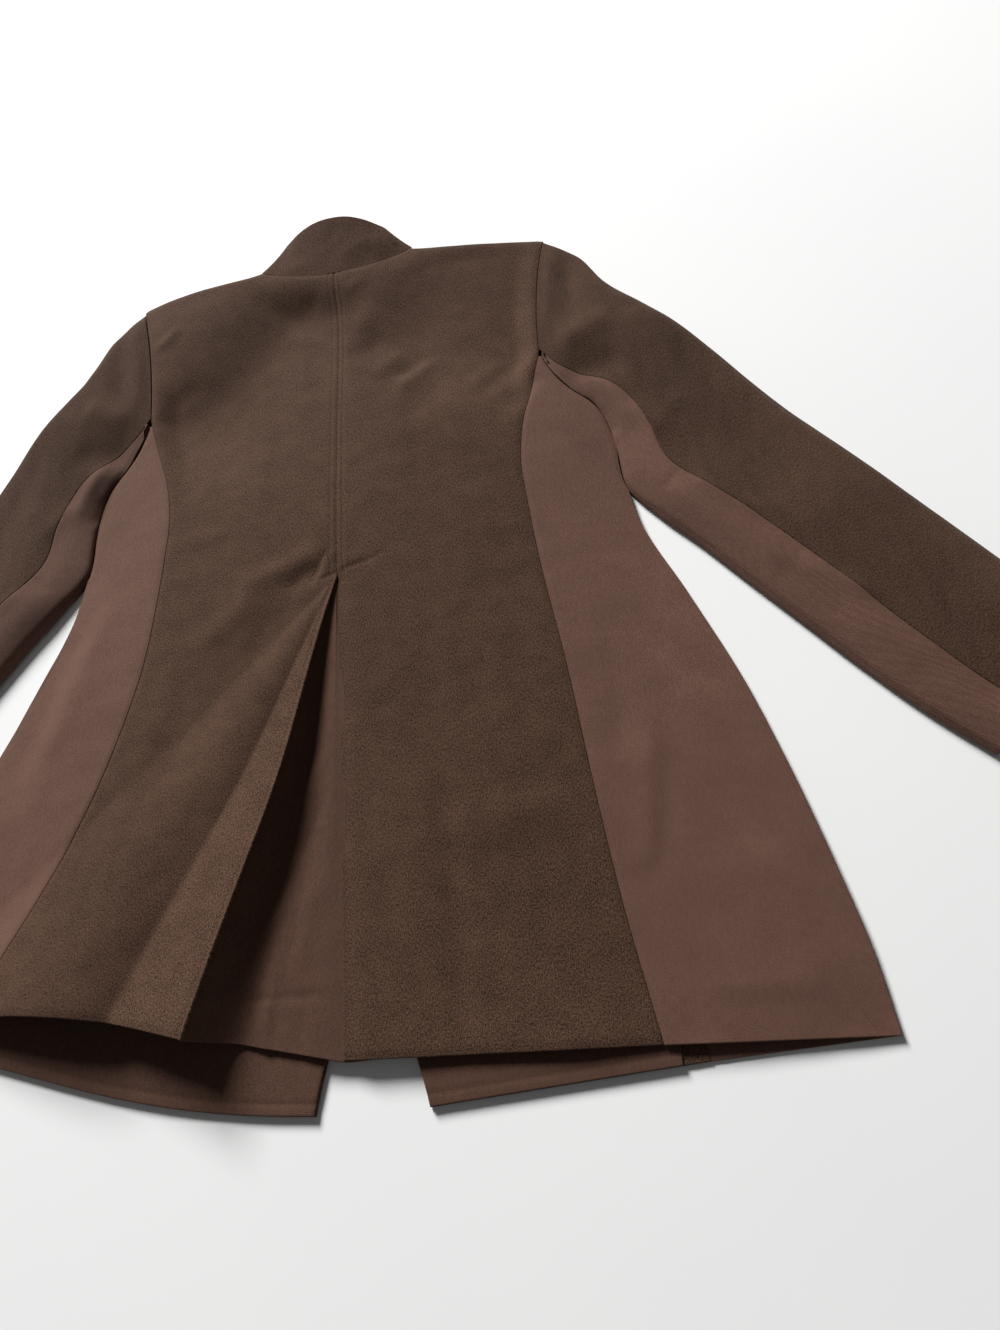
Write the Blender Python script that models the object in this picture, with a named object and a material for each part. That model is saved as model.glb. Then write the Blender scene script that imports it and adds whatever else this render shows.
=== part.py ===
"""A topper jacket lying face down with its back upwards.

The back, the collar, the fronts and the upper sleeves are thick napped wool. The side panels, the under-sleeves,
the pleat underlay and the hem facings are smooth ponte. The centre-back pleat has been pulled open to the left.
"""
from collections import namedtuple
import math

import bpy
import numpy as np

# Driving dimensions, in millimetres. "down" runs from the neck seam at centre back towards the hem, and "out" from
# the centre-back line towards the wearer's right side, which lies at +X.
MM = 0.001
WOOL = 2.4
PONTE = 1.8
SEAM_GAP = 0.3
NECK_HALF = 76.0
NECK_RISE = 22.0
SHOULDER_OUT = 208.0
SHOULDER_RISE = 8.0
APEX_DOWN = 132.0
PIT_DOWN = 281.0
BACK_HEM_CENTRE = 696.0
BACK_HEM_SEAM = 704.0
SIDE_HEM = 711.0
FRONT_HEM_SEAM = 716.0
FRONT_HEM_EDGE = 728.0
FRONT_NECK_OUT = 12.0
FRONT_NECK_DOWN = 48.0
FRONT_HEM_OUT_RIGHT = 56.0
FRONT_HEM_OUT_LEFT = 21.0
FACING_HEIGHT = 62.0
FACING_INSET = 3.0
PLEAT_TOP = 336.0
PLEAT_LAP = 40.0
STRIP_AT_HEM = 70.0
VALLEY_LIFT = 16.0
HUMP_LIFT = 75.0
EDGE_LIFT = 27.0
SWING_MOST = math.radians(17.0)
SWING_DRAW = 0.02
SWING_REACH = math.radians(85.0)
SWING_FRONT_FULL = math.radians(43.8)
LIFT_REACH = math.radians(30.0)
SLEEVE_SEAM_UNDER = 0.70
COLLAR_TOP_UP = 62.0
FOLD_TOP = 2 * PONTE + SEAM_GAP
FRONT_NECK_POWER = 1.6
SHOULDER_FADE = 30.0
SHOULDER_SAG = 0.6
LEAN_FADE = 220.0
FRONT_FLAT_BELOW = 140.0
LIFT_POWER = 1.6
LIFT_MOST = 1.05
EDGE_SAMPLES = 200
SHARP_ANGLE = math.radians(50.0)
PLAN_CENTRE_DOWN = (FRONT_HEM_EDGE - COLLAR_TOP_UP) / 2

# Edges of the panels as they lie, from the top of each edge to its bottom.
Edge = namedtuple("Edge", "down out")
ARMHOLE = [Edge(-8, 208), Edge(25, 200), Edge(58, 195), Edge(95, 191.5), Edge(132, 190)]
BACK_PRINCESS = [Edge(132, 190), Edge(171, 179), Edge(204, 169), Edge(248, 163), Edge(290, 165), Edge(340, 169),
                 Edge(439, 181), Edge(535, 190), Edge(615, 199), Edge(704, 213)]
FRONT_PRINCESS = [Edge(132, 190), Edge(250, 174), Edge(340, 180), Edge(500, 205), Edge(640, 229), Edge(716, 241)]
SIDE_FOLD = [Edge(281, 250), Edge(316, 256), Edge(387, 283), Edge(468, 312), Edge(540, 331), Edge(610, 346),
             Edge(653, 354), Edge(711, 360)]

# Height of the back along its centre line, and the half width over which it falls away to the sides.
Crown = namedtuple("Crown", "down height half_span")
CROWN = [Crown(-30, 42, 300), Crown(0, 43, 300), Crown(60, 40, 298), Crown(132, 37, 290), Crown(200, 34, 268),
         Crown(281, 31.5, 251), Crown(328, 30, 259), Crown(444, 24, 304), Crown(558, 18, 336), Crown(700, 12, 360),
         Crown(740, 12, 362)]
CROWN_POWER = 2.2

# How much higher or lower each shoulder lies than an even one, and where that begins and is full.
Lean = namedtuple("Lean", "change begins full")
RIGHT_LEAN = Lean(-0.13, 0, 76)
LEFT_LEAN = Lean(0.30, 50, 200)

# Sleeve edges as they lie, the height of each edge, the rise between them, and how far the ponte band reaches in.
OUTER_SLEEVE = [Edge(-8, 210), Edge(11, 235), Edge(40, 253), Edge(67, 271), Edge(88, 293), Edge(226, 391),
                Edge(343, 475), Edge(474, 567)]
LOWER_SLEEVE = [Edge(132, 190), Edge(150, 197), Edge(168, 208), Edge(192, 232), Edge(225, 244), Edge(281, 250),
                Edge(345, 299), Edge(424, 361), Edge(508, 430), Edge(546, 468)]
Sleeve = namedtuple("Sleeve", "along outer_height rise band")
SLEEVE = [Sleeve(0.0, 24, 3, 3), Sleeve(0.06, 21, 8, 6), Sleeve(0.14, 17, 15, 16), Sleeve(0.3, 15, 21, 29),
          Sleeve(0.5, 13, 24, 40), Sleeve(0.8, 11, 22, 38), Sleeve(1.0, 10, 18, 34)]
SLEEVE_LOWER_EDGE = 10.0

# Rows that neighbouring pieces share, so that their seams follow the same points.
UNDERARM_ROWS = (142, 158, 175, 192, 215, 245, 281)
FREE_SLEEVE_ROWS = (313, 345, 385, 424, 466, 508, 546)
SIDE_ROWS_BELOW_PIT = 12
ROWS_ABOVE_APEX = 5
SLEEVE_ROWS = 1 + len(UNDERARM_ROWS) + len(FREE_SLEEVE_ROWS)

# The collar's free edge, from centre back round the side fold to the front end.
Collar = namedtuple("Collar", "out up height")
COLLAR_EDGE = [Collar(0, 62, 55), Collar(16, 61, 54), Collar(31, 57, 51), Collar(43, 51, 43), Collar(49, 47, 33),
               Collar(51, 44, 24), Collar(48, 40, 14), Collar(38, 30, 6), Collar(26, 18, 3), Collar(13, 6, 3)]
COLLAR_CORNER = Collar(75, 25, 33)
COLLAR_ROWS = 5

# Surface finishes: linear colour and roughness.
WOOL_FINISH = ((0.080, 0.046, 0.034), 0.95)
PONTE_FINISH = ((0.125, 0.067, 0.050), 0.80)


def smooth(rows, key, column, at):
    """A smooth curve through one column of a table, read at the given values of its key column."""
    keys = np.array([getattr(row, key) for row in rows], float)
    values = np.array([getattr(row, column) for row in rows], float)
    slopes = np.gradient(values, keys)
    at = np.clip(np.asarray(at, float), keys[0], keys[-1])
    left = np.clip(np.searchsorted(keys, at) - 1, 0, len(keys) - 2)
    step = keys[left + 1] - keys[left]
    t = (at - keys[left]) / step
    rise = values[left + 1] - values[left]
    first = slopes[left] * step
    last = slopes[left + 1] * step
    return values[left] + t * (first + t * (3 * rise - 2 * first - last + t * (first + last - 2 * rise)))


def ease(t):
    """Goes from 0 to 1 with level ends."""
    t = np.clip(t, 0, 1)
    return t * t * (3 - 2 * t)


def lerp(a, b, t):
    return a + (b - a) * t


def evenly(points, count):
    """Resamples a polyline at even steps of its length."""
    points = np.asarray(points, float)
    run = np.concatenate([[0], np.cumsum(np.linalg.norm(np.diff(points, axis=0), axis=1))])
    at = np.linspace(0, run[-1], count)
    return np.stack([np.interp(at, run, points[:, k]) for k in range(points.shape[1])], -1)


def edge_line(rows, count):
    """A sleeve's edge as evenly spaced (out, down) points."""
    down = np.linspace(rows[0].down, rows[-1].down, EDGE_SAMPLES)
    return evenly(np.stack([smooth(rows, "down", "out", down), down], -1), count)


# The lie of the cloth

def back_top(out):
    """How far down the back's upper edge lies: the neck curve, then the shoulder."""
    shoulder = np.clip((out - NECK_HALF) / (SHOULDER_OUT - NECK_HALF), 0, None) ** SHOULDER_SAG
    neck = -NECK_RISE * (out / NECK_HALF) ** 2
    return np.where(out < NECK_HALF, neck, -lerp(NECK_RISE, SHOULDER_RISE, shoulder))


def front_top(out):
    """How far down the front's upper edge lies: its deeper neck curve, then the same shoulder."""
    across = np.clip((out - FRONT_NECK_OUT) / (NECK_HALF - FRONT_NECK_OUT), 0, 1)
    neck = lerp(FRONT_NECK_DOWN, -NECK_RISE, across ** FRONT_NECK_POWER)
    return np.where(out < NECK_HALF, neck, back_top(out))


def leaned(out, down):
    """Share by which heights change where a shoulder lies higher or lower; out is negative on the left."""
    right = RIGHT_LEAN.change * ease((out - RIGHT_LEAN.begins) / (RIGHT_LEAN.full - RIGHT_LEAN.begins))
    left = LEFT_LEAN.change * ease((-out - LEFT_LEAN.begins) / (LEFT_LEAN.full - LEFT_LEAN.begins))
    return 1 + (right + left) * (1 - ease(down / LEAN_FADE))


def back_height(out, down):
    """Height of the back's outer face over the table, before the left side is swung out."""
    crown = smooth(CROWN, "down", "height", down)
    span = smooth(CROWN, "down", "half_span", down)
    fall = np.clip(np.abs(out) / span, 0, 1) ** CROWN_POWER
    return (FOLD_TOP + (crown - FOLD_TOP) * (1 - fall)) * leaned(out, down)


def front_height(out, down, thickness):
    """Height of a front's upper face: flat on the table, and lifted to the back along the shoulder."""
    shoulder = back_height(out, back_top(np.abs(out))) - WOOL - SEAM_GAP
    near = np.exp(-((down - back_top(np.abs(out))) / SHOULDER_FADE) ** 2)
    near = np.where(down > FRONT_FLAT_BELOW, 0, near)
    return thickness + np.maximum(shoulder - thickness, 0) * near


def turned(out, down, front):
    """Swings a mirrored left-hand point out around the top of the pleat, and gives its lift as well."""
    below = down - PLEAT_TOP
    angle = np.arctan2(out, below)
    reach = np.hypot(out, below)
    turn = SWING_MOST * 0.5 * (1 + np.cos(math.pi * np.clip(angle / SWING_REACH, 0, 1)))
    if front:
        turn = turn * ease(angle / SWING_FRONT_FULL)
    drawn = reach if front else reach * (1 - SWING_DRAW * turn / SWING_MOST)
    angle_new = angle + turn
    strip = np.arctan2(STRIP_AT_HEM, BACK_HEM_CENTRE - PLEAT_TOP)
    beyond = np.clip((angle - strip) / LIFT_REACH, 0, 1)
    rise = np.where(angle < strip, lerp(EDGE_LIFT, VALLEY_LIFT, np.clip(angle / strip, 0, 1)),
                    (VALLEY_LIFT + HUMP_LIFT * beyond) * (1 - beyond) ** LIFT_POWER)
    lift = rise * np.clip(reach / (BACK_HEM_CENTRE - PLEAT_TOP), 0, LIFT_MOST) * (below > 0)
    return drawn * np.sin(angle_new), PLEAT_TOP + drawn * np.cos(angle_new), lift


def patch(inner, outer, hem, top):
    """Fills four plan edges. inner and outer run from the hem to the top, hem and top from inner to outer."""
    v = np.linspace(0, 1, len(inner))[:, None, None]
    u = np.linspace(0, 1, len(hem))[None, :, None]
    across = (1 - u) * inner[:, None] + u * outer[:, None]
    along = (1 - v) * hem[None] + v * top[None]
    corners = (1 - u) * ((1 - v) * hem[0] + v * top[0]) + u * ((1 - v) * hem[-1] + v * top[-1])
    return across + along - corners


def side_rows():
    """Rows of a side panel's outer edge, from its hem up to where its tip is cut off."""
    below_pit = np.linspace(SIDE_HEM, PIT_DOWN, SIDE_ROWS_BELOW_PIT)
    return np.concatenate([below_pit, np.array(UNDERARM_ROWS[-2::-1], float)])


def seam_rows(hem):
    """Rows of a princess seam that ends at the given hem, one for each row of the side panel."""
    tip = UNDERARM_ROWS[0]
    return lerp(hem, tip, (SIDE_HEM - side_rows()) / (SIDE_HEM - tip))


def panel_rows(hem):
    """Rows of a back or front panel's outer edge: its princess seam, then its armhole."""
    armhole = np.linspace(UNDERARM_ROWS[0], -SHOULDER_RISE + SEAM_GAP / 2, ROWS_ABOVE_APEX + 1)
    return np.concatenate([seam_rows(hem), armhole[1:]])


def side_plan(seam, hem):
    """Plan of a side panel between its princess seam and the side fold."""
    half = SEAM_GAP / 2
    inner_down = seam_rows(hem)
    outer_down = side_rows()
    inner = np.stack([seam(inner_down) + half, inner_down], -1)
    outer = np.stack([side_edge(outer_down) - half, outer_down], -1)
    ends = [evenly([inner[k], outer[k]], SIDE_COLUMNS) for k in (0, -1)]
    return patch(inner, outer, *ends)


def back_seam(down):
    return np.where(down < APEX_DOWN, smooth(ARMHOLE, "down", "out", down),
                    smooth(BACK_PRINCESS, "down", "out", down))


def front_seam(down):
    return np.where(down < APEX_DOWN, smooth(ARMHOLE, "down", "out", down),
                    smooth(FRONT_PRINCESS, "down", "out", down))


def side_edge(down):
    return np.where(down < PIT_DOWN, smooth(LOWER_SLEEVE, "down", "out", down),
                    smooth(SIDE_FOLD, "down", "out", down))


# Solids

def finish(name, look):
    """A plain surface of one colour and roughness."""
    material = bpy.data.materials.new(name)
    material.use_nodes = True
    surface = material.node_tree.nodes["Principled BSDF"]
    surface.inputs["Base Color"].default_value = (*look[0], 1)
    surface.inputs["Roughness"].default_value = look[1]
    surface.inputs["Metallic"].default_value = 0
    return material


def wall(name, outer, inner, look, keep=None):
    """Makes a closed wall between two grids of (out, down, height) points, leaving out the cells not kept."""
    rows, columns = outer.shape[:2]
    count = rows * columns
    index = np.arange(count).reshape(rows, columns)
    faces = []
    sides = set()
    for i in range(rows - 1):
        for j in range(columns - 1):
            if keep is not None and not keep[i, j]:
                continue
            quad = [int(index[i, j]), int(index[i, j + 1]), int(index[i + 1, j + 1]), int(index[i + 1, j])]
            faces.append(quad)
            faces.append([corner + count for corner in reversed(quad)])
            sides.update(zip(quad, quad[1:] + quad[:1]))
    for a, b in sorted(sides):
        if (b, a) not in sides:
            faces.append([b, a, a + count, b + count])
    points = np.concatenate([outer.reshape(-1, 3), inner.reshape(-1, 3)])
    placed = np.stack([points[:, 0], PLAN_CENTRE_DOWN - points[:, 1], points[:, 2]], -1) * MM
    used = sorted({corner for face in faces for corner in face})
    renumber = {old: new for new, old in enumerate(used)}
    mesh = bpy.data.meshes.new(name)
    mesh.from_pydata(placed[used].tolist(), [], [[renumber[corner] for corner in face] for face in faces])
    piece = bpy.data.objects.new(name, mesh)
    bpy.context.collection.objects.link(piece)
    if signed_volume(mesh) < 0:
        mesh.flip_normals()
    mesh.shade_smooth()
    mesh.set_sharp_from_angle(angle=SHARP_ANGLE)
    mesh.materials.append(finish(name, look))
    return piece


def signed_volume(mesh):
    """Six times the volume inside a mesh, negative where its faces point inwards."""
    mesh.calc_loop_triangles()
    total = 0.0
    for triangle in mesh.loop_triangles:
        a, b, c = (mesh.vertices[k].co for k in triangle.vertices)
        total += a.dot(b.cross(c))
    return total


def sheet(name, plan, top, thickness, look, left=None):
    """A panel lying in a layer: its plan, the height of its upper face, and for a left one how it is swung."""
    out, down = plan[..., 0], plan[..., 1]
    height = top(-out if left else out, down)
    if left:
        out, down, lift = turned(out, down, left == "front")
        out = -out
        if left == "back":
            height = height + lift
    upper = np.stack([out, down, height], -1)
    lower = np.stack([out, down, height - thickness], -1)
    return wall(name, upper, lower, look)


def inside(outer, thickness, upright_ends=False):
    """The inner face of a bent wall, from its outer points. Upright ends let two walls meet at a seam."""
    normal = np.cross(np.gradient(outer, axis=0), np.gradient(outer, axis=1))
    normal /= np.linalg.norm(normal, axis=-1, keepdims=True)
    if upright_ends:
        for column in (0, -1):
            normal[:, column] = np.sign(normal[:, column, 2:]) * np.array([0, 0, 1])
    return outer + normal * thickness


# The back: two wool panels seamed together down to the pleat

BACK_COLUMNS = 11
NECK_COLUMNS = 5


def shoulder_stations(first_out):
    """Where a panel's columns meet its upper edge: round the neck, then along the shoulder."""
    neck = np.linspace(first_out, NECK_HALF, NECK_COLUMNS)
    shoulder = np.linspace(NECK_HALF, SHOULDER_OUT - SEAM_GAP / 2, BACK_COLUMNS - NECK_COLUMNS + 1)
    return np.concatenate([neck, shoulder[1:]])


def back_panel(side):
    half = SEAM_GAP / 2
    outer_down = panel_rows(BACK_HEM_SEAM)
    risen = (BACK_HEM_SEAM - outer_down) / (BACK_HEM_SEAM - outer_down[-1])
    inner = np.stack([np.full_like(risen, half), lerp(BACK_HEM_CENTRE, half, risen)], -1)
    outer = np.stack([back_seam(outer_down) - half, outer_down], -1)
    hem = evenly([inner[0], outer[0]], BACK_COLUMNS)
    top_out = shoulder_stations(half)
    top = np.stack([top_out, back_top(top_out) + half], -1)
    plan = patch(inner, outer, hem, top)
    sheet("back_" + side, plan, back_height, WOOL, WOOL_FINISH, left="back" if side == "left" else None)


# The side panels: ponte, one on the back and one on the front of each side, seamed along the side fold

SIDE_COLUMNS = 6


def side_panels(side):
    back_plan = side_plan(back_seam, BACK_HEM_SEAM)
    front_plan = side_plan(front_seam, FRONT_HEM_SEAM)
    left_back = "back" if side == "left" else None
    left_front = "front" if side == "left" else None
    sheet("side_back_" + side, back_plan, back_height, PONTE, PONTE_FINISH, left=left_back)
    sheet("side_front_" + side, front_plan, lambda out, down: np.full_like(out, PONTE), PONTE, PONTE_FINISH,
          left=left_front)


# The fronts: wool, flat on the table, with a ponte facing inside the hem

FACING_ROWS = 4


def front_panel(side, hem_out):
    half = SEAM_GAP / 2
    outer_down = panel_rows(FRONT_HEM_SEAM)
    risen = (FRONT_HEM_SEAM - outer_down) / (FRONT_HEM_SEAM - outer_down[-1])
    inner_down = lerp(FRONT_HEM_EDGE, FRONT_NECK_DOWN + half, risen)
    inner = np.stack([lerp(hem_out, FRONT_NECK_OUT, risen), inner_down], -1)
    outer = np.stack([front_seam(outer_down) - half, outer_down], -1)
    hem = evenly([inner[0], outer[0]], BACK_COLUMNS)
    top_out = shoulder_stations(FRONT_NECK_OUT)
    top = np.stack([top_out, front_top(top_out) + half], -1)
    plan = patch(inner, outer, hem, top)
    left = "front" if side == "left" else None
    sheet("front_" + side, plan, lambda out, down: front_height(out, down, WOOL), WOOL, WOOL_FINISH, left=left)

    hem_edge = hem[:-1] + np.array([FACING_INSET, -FACING_INSET])
    rise = np.linspace(0, FACING_HEIGHT, FACING_ROWS)[:, None]
    facing = np.stack([np.repeat(hem_edge[None, :, 0], FACING_ROWS, 0), hem_edge[None, :, 1] - rise], -1)
    above = WOOL + SEAM_GAP + PONTE
    sheet("hem_facing_" + side, facing, lambda out, down: np.full_like(out, above), PONTE, PONTE_FINISH,
          left=left)


# The pleat underlay: ponte, lapped under the right panel and caught under the left panel's drooping edge

UNDERLAY_ROWS = 12
UNDERLAY_TOP = 352.0
UNDERLAY_HEM = 692.0
UNDERLAY_TUCK = 3.0
UNDERLAY_DROP = 1.6
UNDERLAY_STEPS = (1.0, 0.5, 0.0)
UNDERLAY_OPEN = (0.2, 0.4, 0.6, 0.8, 0.95)
UNDERLAY_RISE = (0.15, 0.45, 0.75, 1.0)
INNER_FOLD_SHARE = 0.74
INNER_FOLD_HEIGHT = 8.0
INNER_FOLD_SETTLES = 1.6
LAP_AT_TOP = 0.35


def pleat_underlay():
    down = np.linspace(UNDERLAY_HEM, UNDERLAY_TOP, UNDERLAY_ROWS)
    fallen = (down - PLEAT_TOP) / (BACK_HEM_CENTRE - PLEAT_TOP)
    edge_out, edge_down, lift = turned(np.full(UNDERLAY_ROWS, UNDERLAY_TUCK), down, False)
    edge_height = back_height(np.zeros(UNDERLAY_ROWS), down) + lift - WOOL - UNDERLAY_DROP
    under_panel = back_height(np.zeros(UNDERLAY_ROWS), down) - WOOL - SEAM_GAP
    fold_out = edge_out * INNER_FOLD_SHARE
    settled = lerp(under_panel, INNER_FOLD_HEIGHT, ease(fallen * INNER_FOLD_SETTLES))
    fold_height = np.minimum(settled, under_panel)
    columns = []
    for share in UNDERLAY_STEPS:
        lap = PLEAT_LAP * lerp(LAP_AT_TOP, 1.0, fallen) * share
        columns.append(np.stack([lap, down, back_height(lap, down) - WOOL - SEAM_GAP], -1))
    for share in UNDERLAY_OPEN:
        across = -fold_out * share
        columns.append(np.stack([across, lerp(down, edge_down, share * INNER_FOLD_SHARE),
                                 lerp(under_panel, fold_height, ease(share))], -1))
    for share in UNDERLAY_RISE:
        across = -lerp(fold_out, edge_out, share)
        columns.append(np.stack([across, lerp(lerp(down, edge_down, INNER_FOLD_SHARE), edge_down, share),
                                 lerp(fold_height, edge_height, share)], -1))
    upper = np.stack(columns, 1)
    lower = upper - np.array([0, 0, PONTE])
    wall("pleat_underlay", upper, lower, PONTE_FINISH)


# The sleeves: a wool upper sleeve round the outer fold and a ponte under-sleeve round the inner fold

Bend = namedtuple("Bend", "inset height")
FOLDED_EDGE = [Bend(0.045, 0.86), Bend(0.012, 0.66), Bend(0.0, 0.42), Bend(0.012, 0.16), Bend(0.045, 0.0)]
JOINED_EDGE = [Bend(0.03, 1.0), Bend(0.0, 1.0), Bend(0.0, 0.5), Bend(0.0, 0.0), Bend(0.03, 0.0)]
UPPER_SHARES = (1.0, 0.8, 0.6, 0.4, 0.24, 0.12)
UNDER_SHARES = (1.0, 0.55)
LOWER_SHARES = (0.2, 0.5, 0.8, 1.0)
UNDER_START = 1
ARMHOLE_GAP = 0.8
ARMHOLE_BLEND = 0.3
DOME_POWER = 2.6
DOME_ROUND = 0.7
LAID_FROM = 0.06
UPPER_FACE = 0.5


def sleeve_rows():
    """For each row along the sleeve: its two edges, edge heights, rise between them and the ponte band's width."""
    down = np.array([LOWER_SLEEVE[0].down, *UNDERARM_ROWS, *FREE_SLEEVE_ROWS], float)
    lower = np.stack([smooth(LOWER_SLEEVE, "down", "out", down), down], -1)
    along = (down - down[0]) / (down[-1] - down[0])
    outer = edge_line(OUTER_SLEEVE, SLEEVE_ROWS)
    arm = edge_line(ARMHOLE, SLEEVE_ROWS)
    joined = back_height(lower[:, 0], lower[:, 1]) / leaned(lower[:, 0], lower[:, 1])
    lower_height = np.where(down > PIT_DOWN, SLEEVE_LOWER_EDGE, joined)
    table = {column: smooth(SLEEVE, "along", column, along) for column in ("outer_height", "rise", "band")}
    return along, outer, lower, lower_height, table, arm


def sleeve_point(row, share, height_share, top, lie):
    """One point on a sleeve's row: share runs from its outer edge to its lower edge."""
    along, outer, lower, lower_height, table, arm = lie
    chord = lerp(outer[row], lower[row], share)
    start = lerp(outer[0], lower[0], share)
    at_arm = np.array([np.interp(share, np.linspace(0, 1, len(arm)), arm[:, k]) for k in range(2)])
    plan = chord + (at_arm - start) * (1 - ease(along[row] / ARMHOLE_BLEND))
    edge = lerp(table["outer_height"][row], lower_height[row], share)
    dome = max(0.0, 1 - abs(2 * share - 1) ** DOME_POWER) ** DOME_ROUND
    height = (edge + table["rise"][row] * dome) * height_share if top else edge * height_share
    return (plan[0] + ARMHOLE_GAP, plan[1], height)


def sleeve(side):
    lie = sleeve_rows()
    along, outer, lower, _, table, _ = lie
    width = np.linalg.norm(outer - lower, axis=1)
    upper_grid = []
    under_grid = []
    for row in range(SLEEVE_ROWS):
        seam = 1 - table["band"][row] / width[row]
        gap = SEAM_GAP / width[row]
        points = [sleeve_point(row, (seam - gap) * share, 1.0, True, lie) for share in UPPER_SHARES]
        points += [sleeve_point(row, bend.inset, bend.height, bend.height > UPPER_FACE, lie)
                   for bend in FOLDED_EDGE]
        points += [sleeve_point(row, lerp(LAID_FROM, SLEEVE_SEAM_UNDER - gap, share), 0.0, False, lie)
                   for share in LOWER_SHARES]
        upper_grid.append(points)
        edge = FOLDED_EDGE if lower[row, 1] > PIT_DOWN else JOINED_EDGE
        points = [sleeve_point(row, 1 - (1 - seam) * share, 1.0, True, lie) for share in UNDER_SHARES]
        points += [sleeve_point(row, 1 - bend.inset, bend.height, bend.height > UPPER_FACE, lie)
                   for bend in edge]
        points += [sleeve_point(row, lerp(1 - LAID_FROM, SLEEVE_SEAM_UNDER, share), 0.0, False, lie)
                   for share in LOWER_SHARES]
        under_grid.append(points)
    mirror = np.array([-1 if side == "left" else 1, 1, 1])
    upper_grid = np.array(upper_grid) * mirror
    under_grid = np.array(under_grid[UNDER_START:]) * mirror
    for grid in (upper_grid, under_grid):
        grid[..., 2] *= leaned(grid[..., 0], grid[..., 1])
    keep = np.ones((under_grid.shape[0] - 1, under_grid.shape[1] - 1), bool)
    armhole_rows = int((lower[UNDER_START:, 1] <= PIT_DOWN).sum()) - 1
    first = len(UNDER_SHARES) + 1
    keep[:armhole_rows, first:first + 2] = False
    if side == "left":
        upper_grid = upper_grid[:, ::-1]
    else:
        under_grid = under_grid[:, ::-1]
        keep = keep[:, ::-1]
    wall("sleeve_upper_" + side, upper_grid, inside(upper_grid, WOOL, True), WOOL_FINISH)
    wall("sleeve_under_" + side, under_grid, inside(under_grid, PONTE, True), PONTE_FINISH, keep)


# The collar: a stiff wool stand, arched over the back of the neck, with its front ends lying underneath

COLLAR_GAP = 0.6


def collar_half(side):
    """Half of the collar's outer face from centre back to the front end, side being 1 on the right and -1 left."""
    back_out = np.linspace(0, NECK_HALF, NECK_COLUMNS)
    back_down = back_top(back_out) - COLLAR_GAP
    base = [(out, down, back_height(side * out, down)) for out, down in zip(back_out, back_down)]
    corner = COLLAR_CORNER.height * leaned(side * COLLAR_CORNER.out, -COLLAR_CORNER.up)
    base.append((COLLAR_CORNER.out, -COLLAR_CORNER.up, corner))
    front_out = np.linspace(NECK_HALF, FRONT_NECK_OUT, NECK_COLUMNS)[1:]
    front_down = front_top(front_out) - COLLAR_GAP
    base += [(out, down, front_height(side * out, down, WOOL)) for out, down in zip(front_out, front_down)]
    edge = [(row.out, -row.up, row.height) for row in COLLAR_EDGE]
    half = np.array([[lerp(np.array(low), np.array(high), share) for share in np.linspace(0, 1, COLLAR_ROWS)]
                     for low, high in zip(base, edge)])
    return half * np.array([side, 1, 1])


def collar():
    outer = np.concatenate([collar_half(-1)[:0:-1], collar_half(1)])
    inner = inside(outer, WOOL)
    inner[:, 0, 1] = outer[:, 0, 1]
    wall("collar", outer, inner, WOOL_FINISH)


def build():
    for existing in list(bpy.data.objects):
        bpy.data.objects.remove(existing)
    for side, hem_out in (("right", FRONT_HEM_OUT_RIGHT), ("left", FRONT_HEM_OUT_LEFT)):
        back_panel(side)
        side_panels(side)
        front_panel(side, hem_out)
        sleeve(side)
    pleat_underlay()
    collar()


build()
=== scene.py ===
from collections import namedtuple
import math

import bpy
import numpy as np
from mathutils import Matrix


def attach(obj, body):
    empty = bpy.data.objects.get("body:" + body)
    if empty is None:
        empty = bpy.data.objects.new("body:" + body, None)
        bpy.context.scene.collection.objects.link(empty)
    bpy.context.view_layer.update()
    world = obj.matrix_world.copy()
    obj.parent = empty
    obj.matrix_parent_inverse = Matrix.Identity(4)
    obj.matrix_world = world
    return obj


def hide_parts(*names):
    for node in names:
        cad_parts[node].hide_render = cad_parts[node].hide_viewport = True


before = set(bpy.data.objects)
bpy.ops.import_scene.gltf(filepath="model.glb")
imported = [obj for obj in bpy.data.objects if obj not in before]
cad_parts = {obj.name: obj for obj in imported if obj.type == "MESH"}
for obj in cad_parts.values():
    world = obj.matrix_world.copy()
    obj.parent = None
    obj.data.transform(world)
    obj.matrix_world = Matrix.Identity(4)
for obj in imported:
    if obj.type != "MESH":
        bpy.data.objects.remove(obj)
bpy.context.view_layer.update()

# The back panels
# Two panels of thick napped wool, seamed down the centre back with topstitching beside the seam, and left
# open below a curved tack as a pleat. The left one is pulled out to the side, so its pleat edge stands up.
# Sizes are in millimetres: "out" from the centre back to the wearer's right, "down" from neck to hem.
MM = 0.001
PLAN_CENTRE_DOWN = 333.0
WOOL_THICK = 2.4
SEAM_GAP = 0.3
SEAM_HALF = -0.05
CENTRE_LAP = 0.6
NECK_HALF = 76.0
NECK_RISE = 22.0
NECK_SHARE = 0.4
SHOULDER_OUT = 208.0
SHOULDER_RISE = 10.0
SHOULDER_SAG = 0.6
APEX_DOWN = 132.0
BACK_HEM_CENTRE = 696.0
BACK_HEM_SEAM = 704.0
FOLD_TOP = 3.9


def rows_of(kind, *rows):
    """A list of rows of one kind."""
    return [kind(*row) for row in rows]


Edge = namedtuple("Edge", "down out")
ARMHOLE = rows_of(Edge, (-10, 208), (25, 200), (58, 195), (95, 191.5), (132, 190))
BACK_PRINCESS = rows_of(
    Edge,
    (132, 190), (171, 179), (204, 169), (248, 163), (290, 165), (340, 169), (439, 181), (535, 190),
    (615, 199), (704, 213),
)

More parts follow.
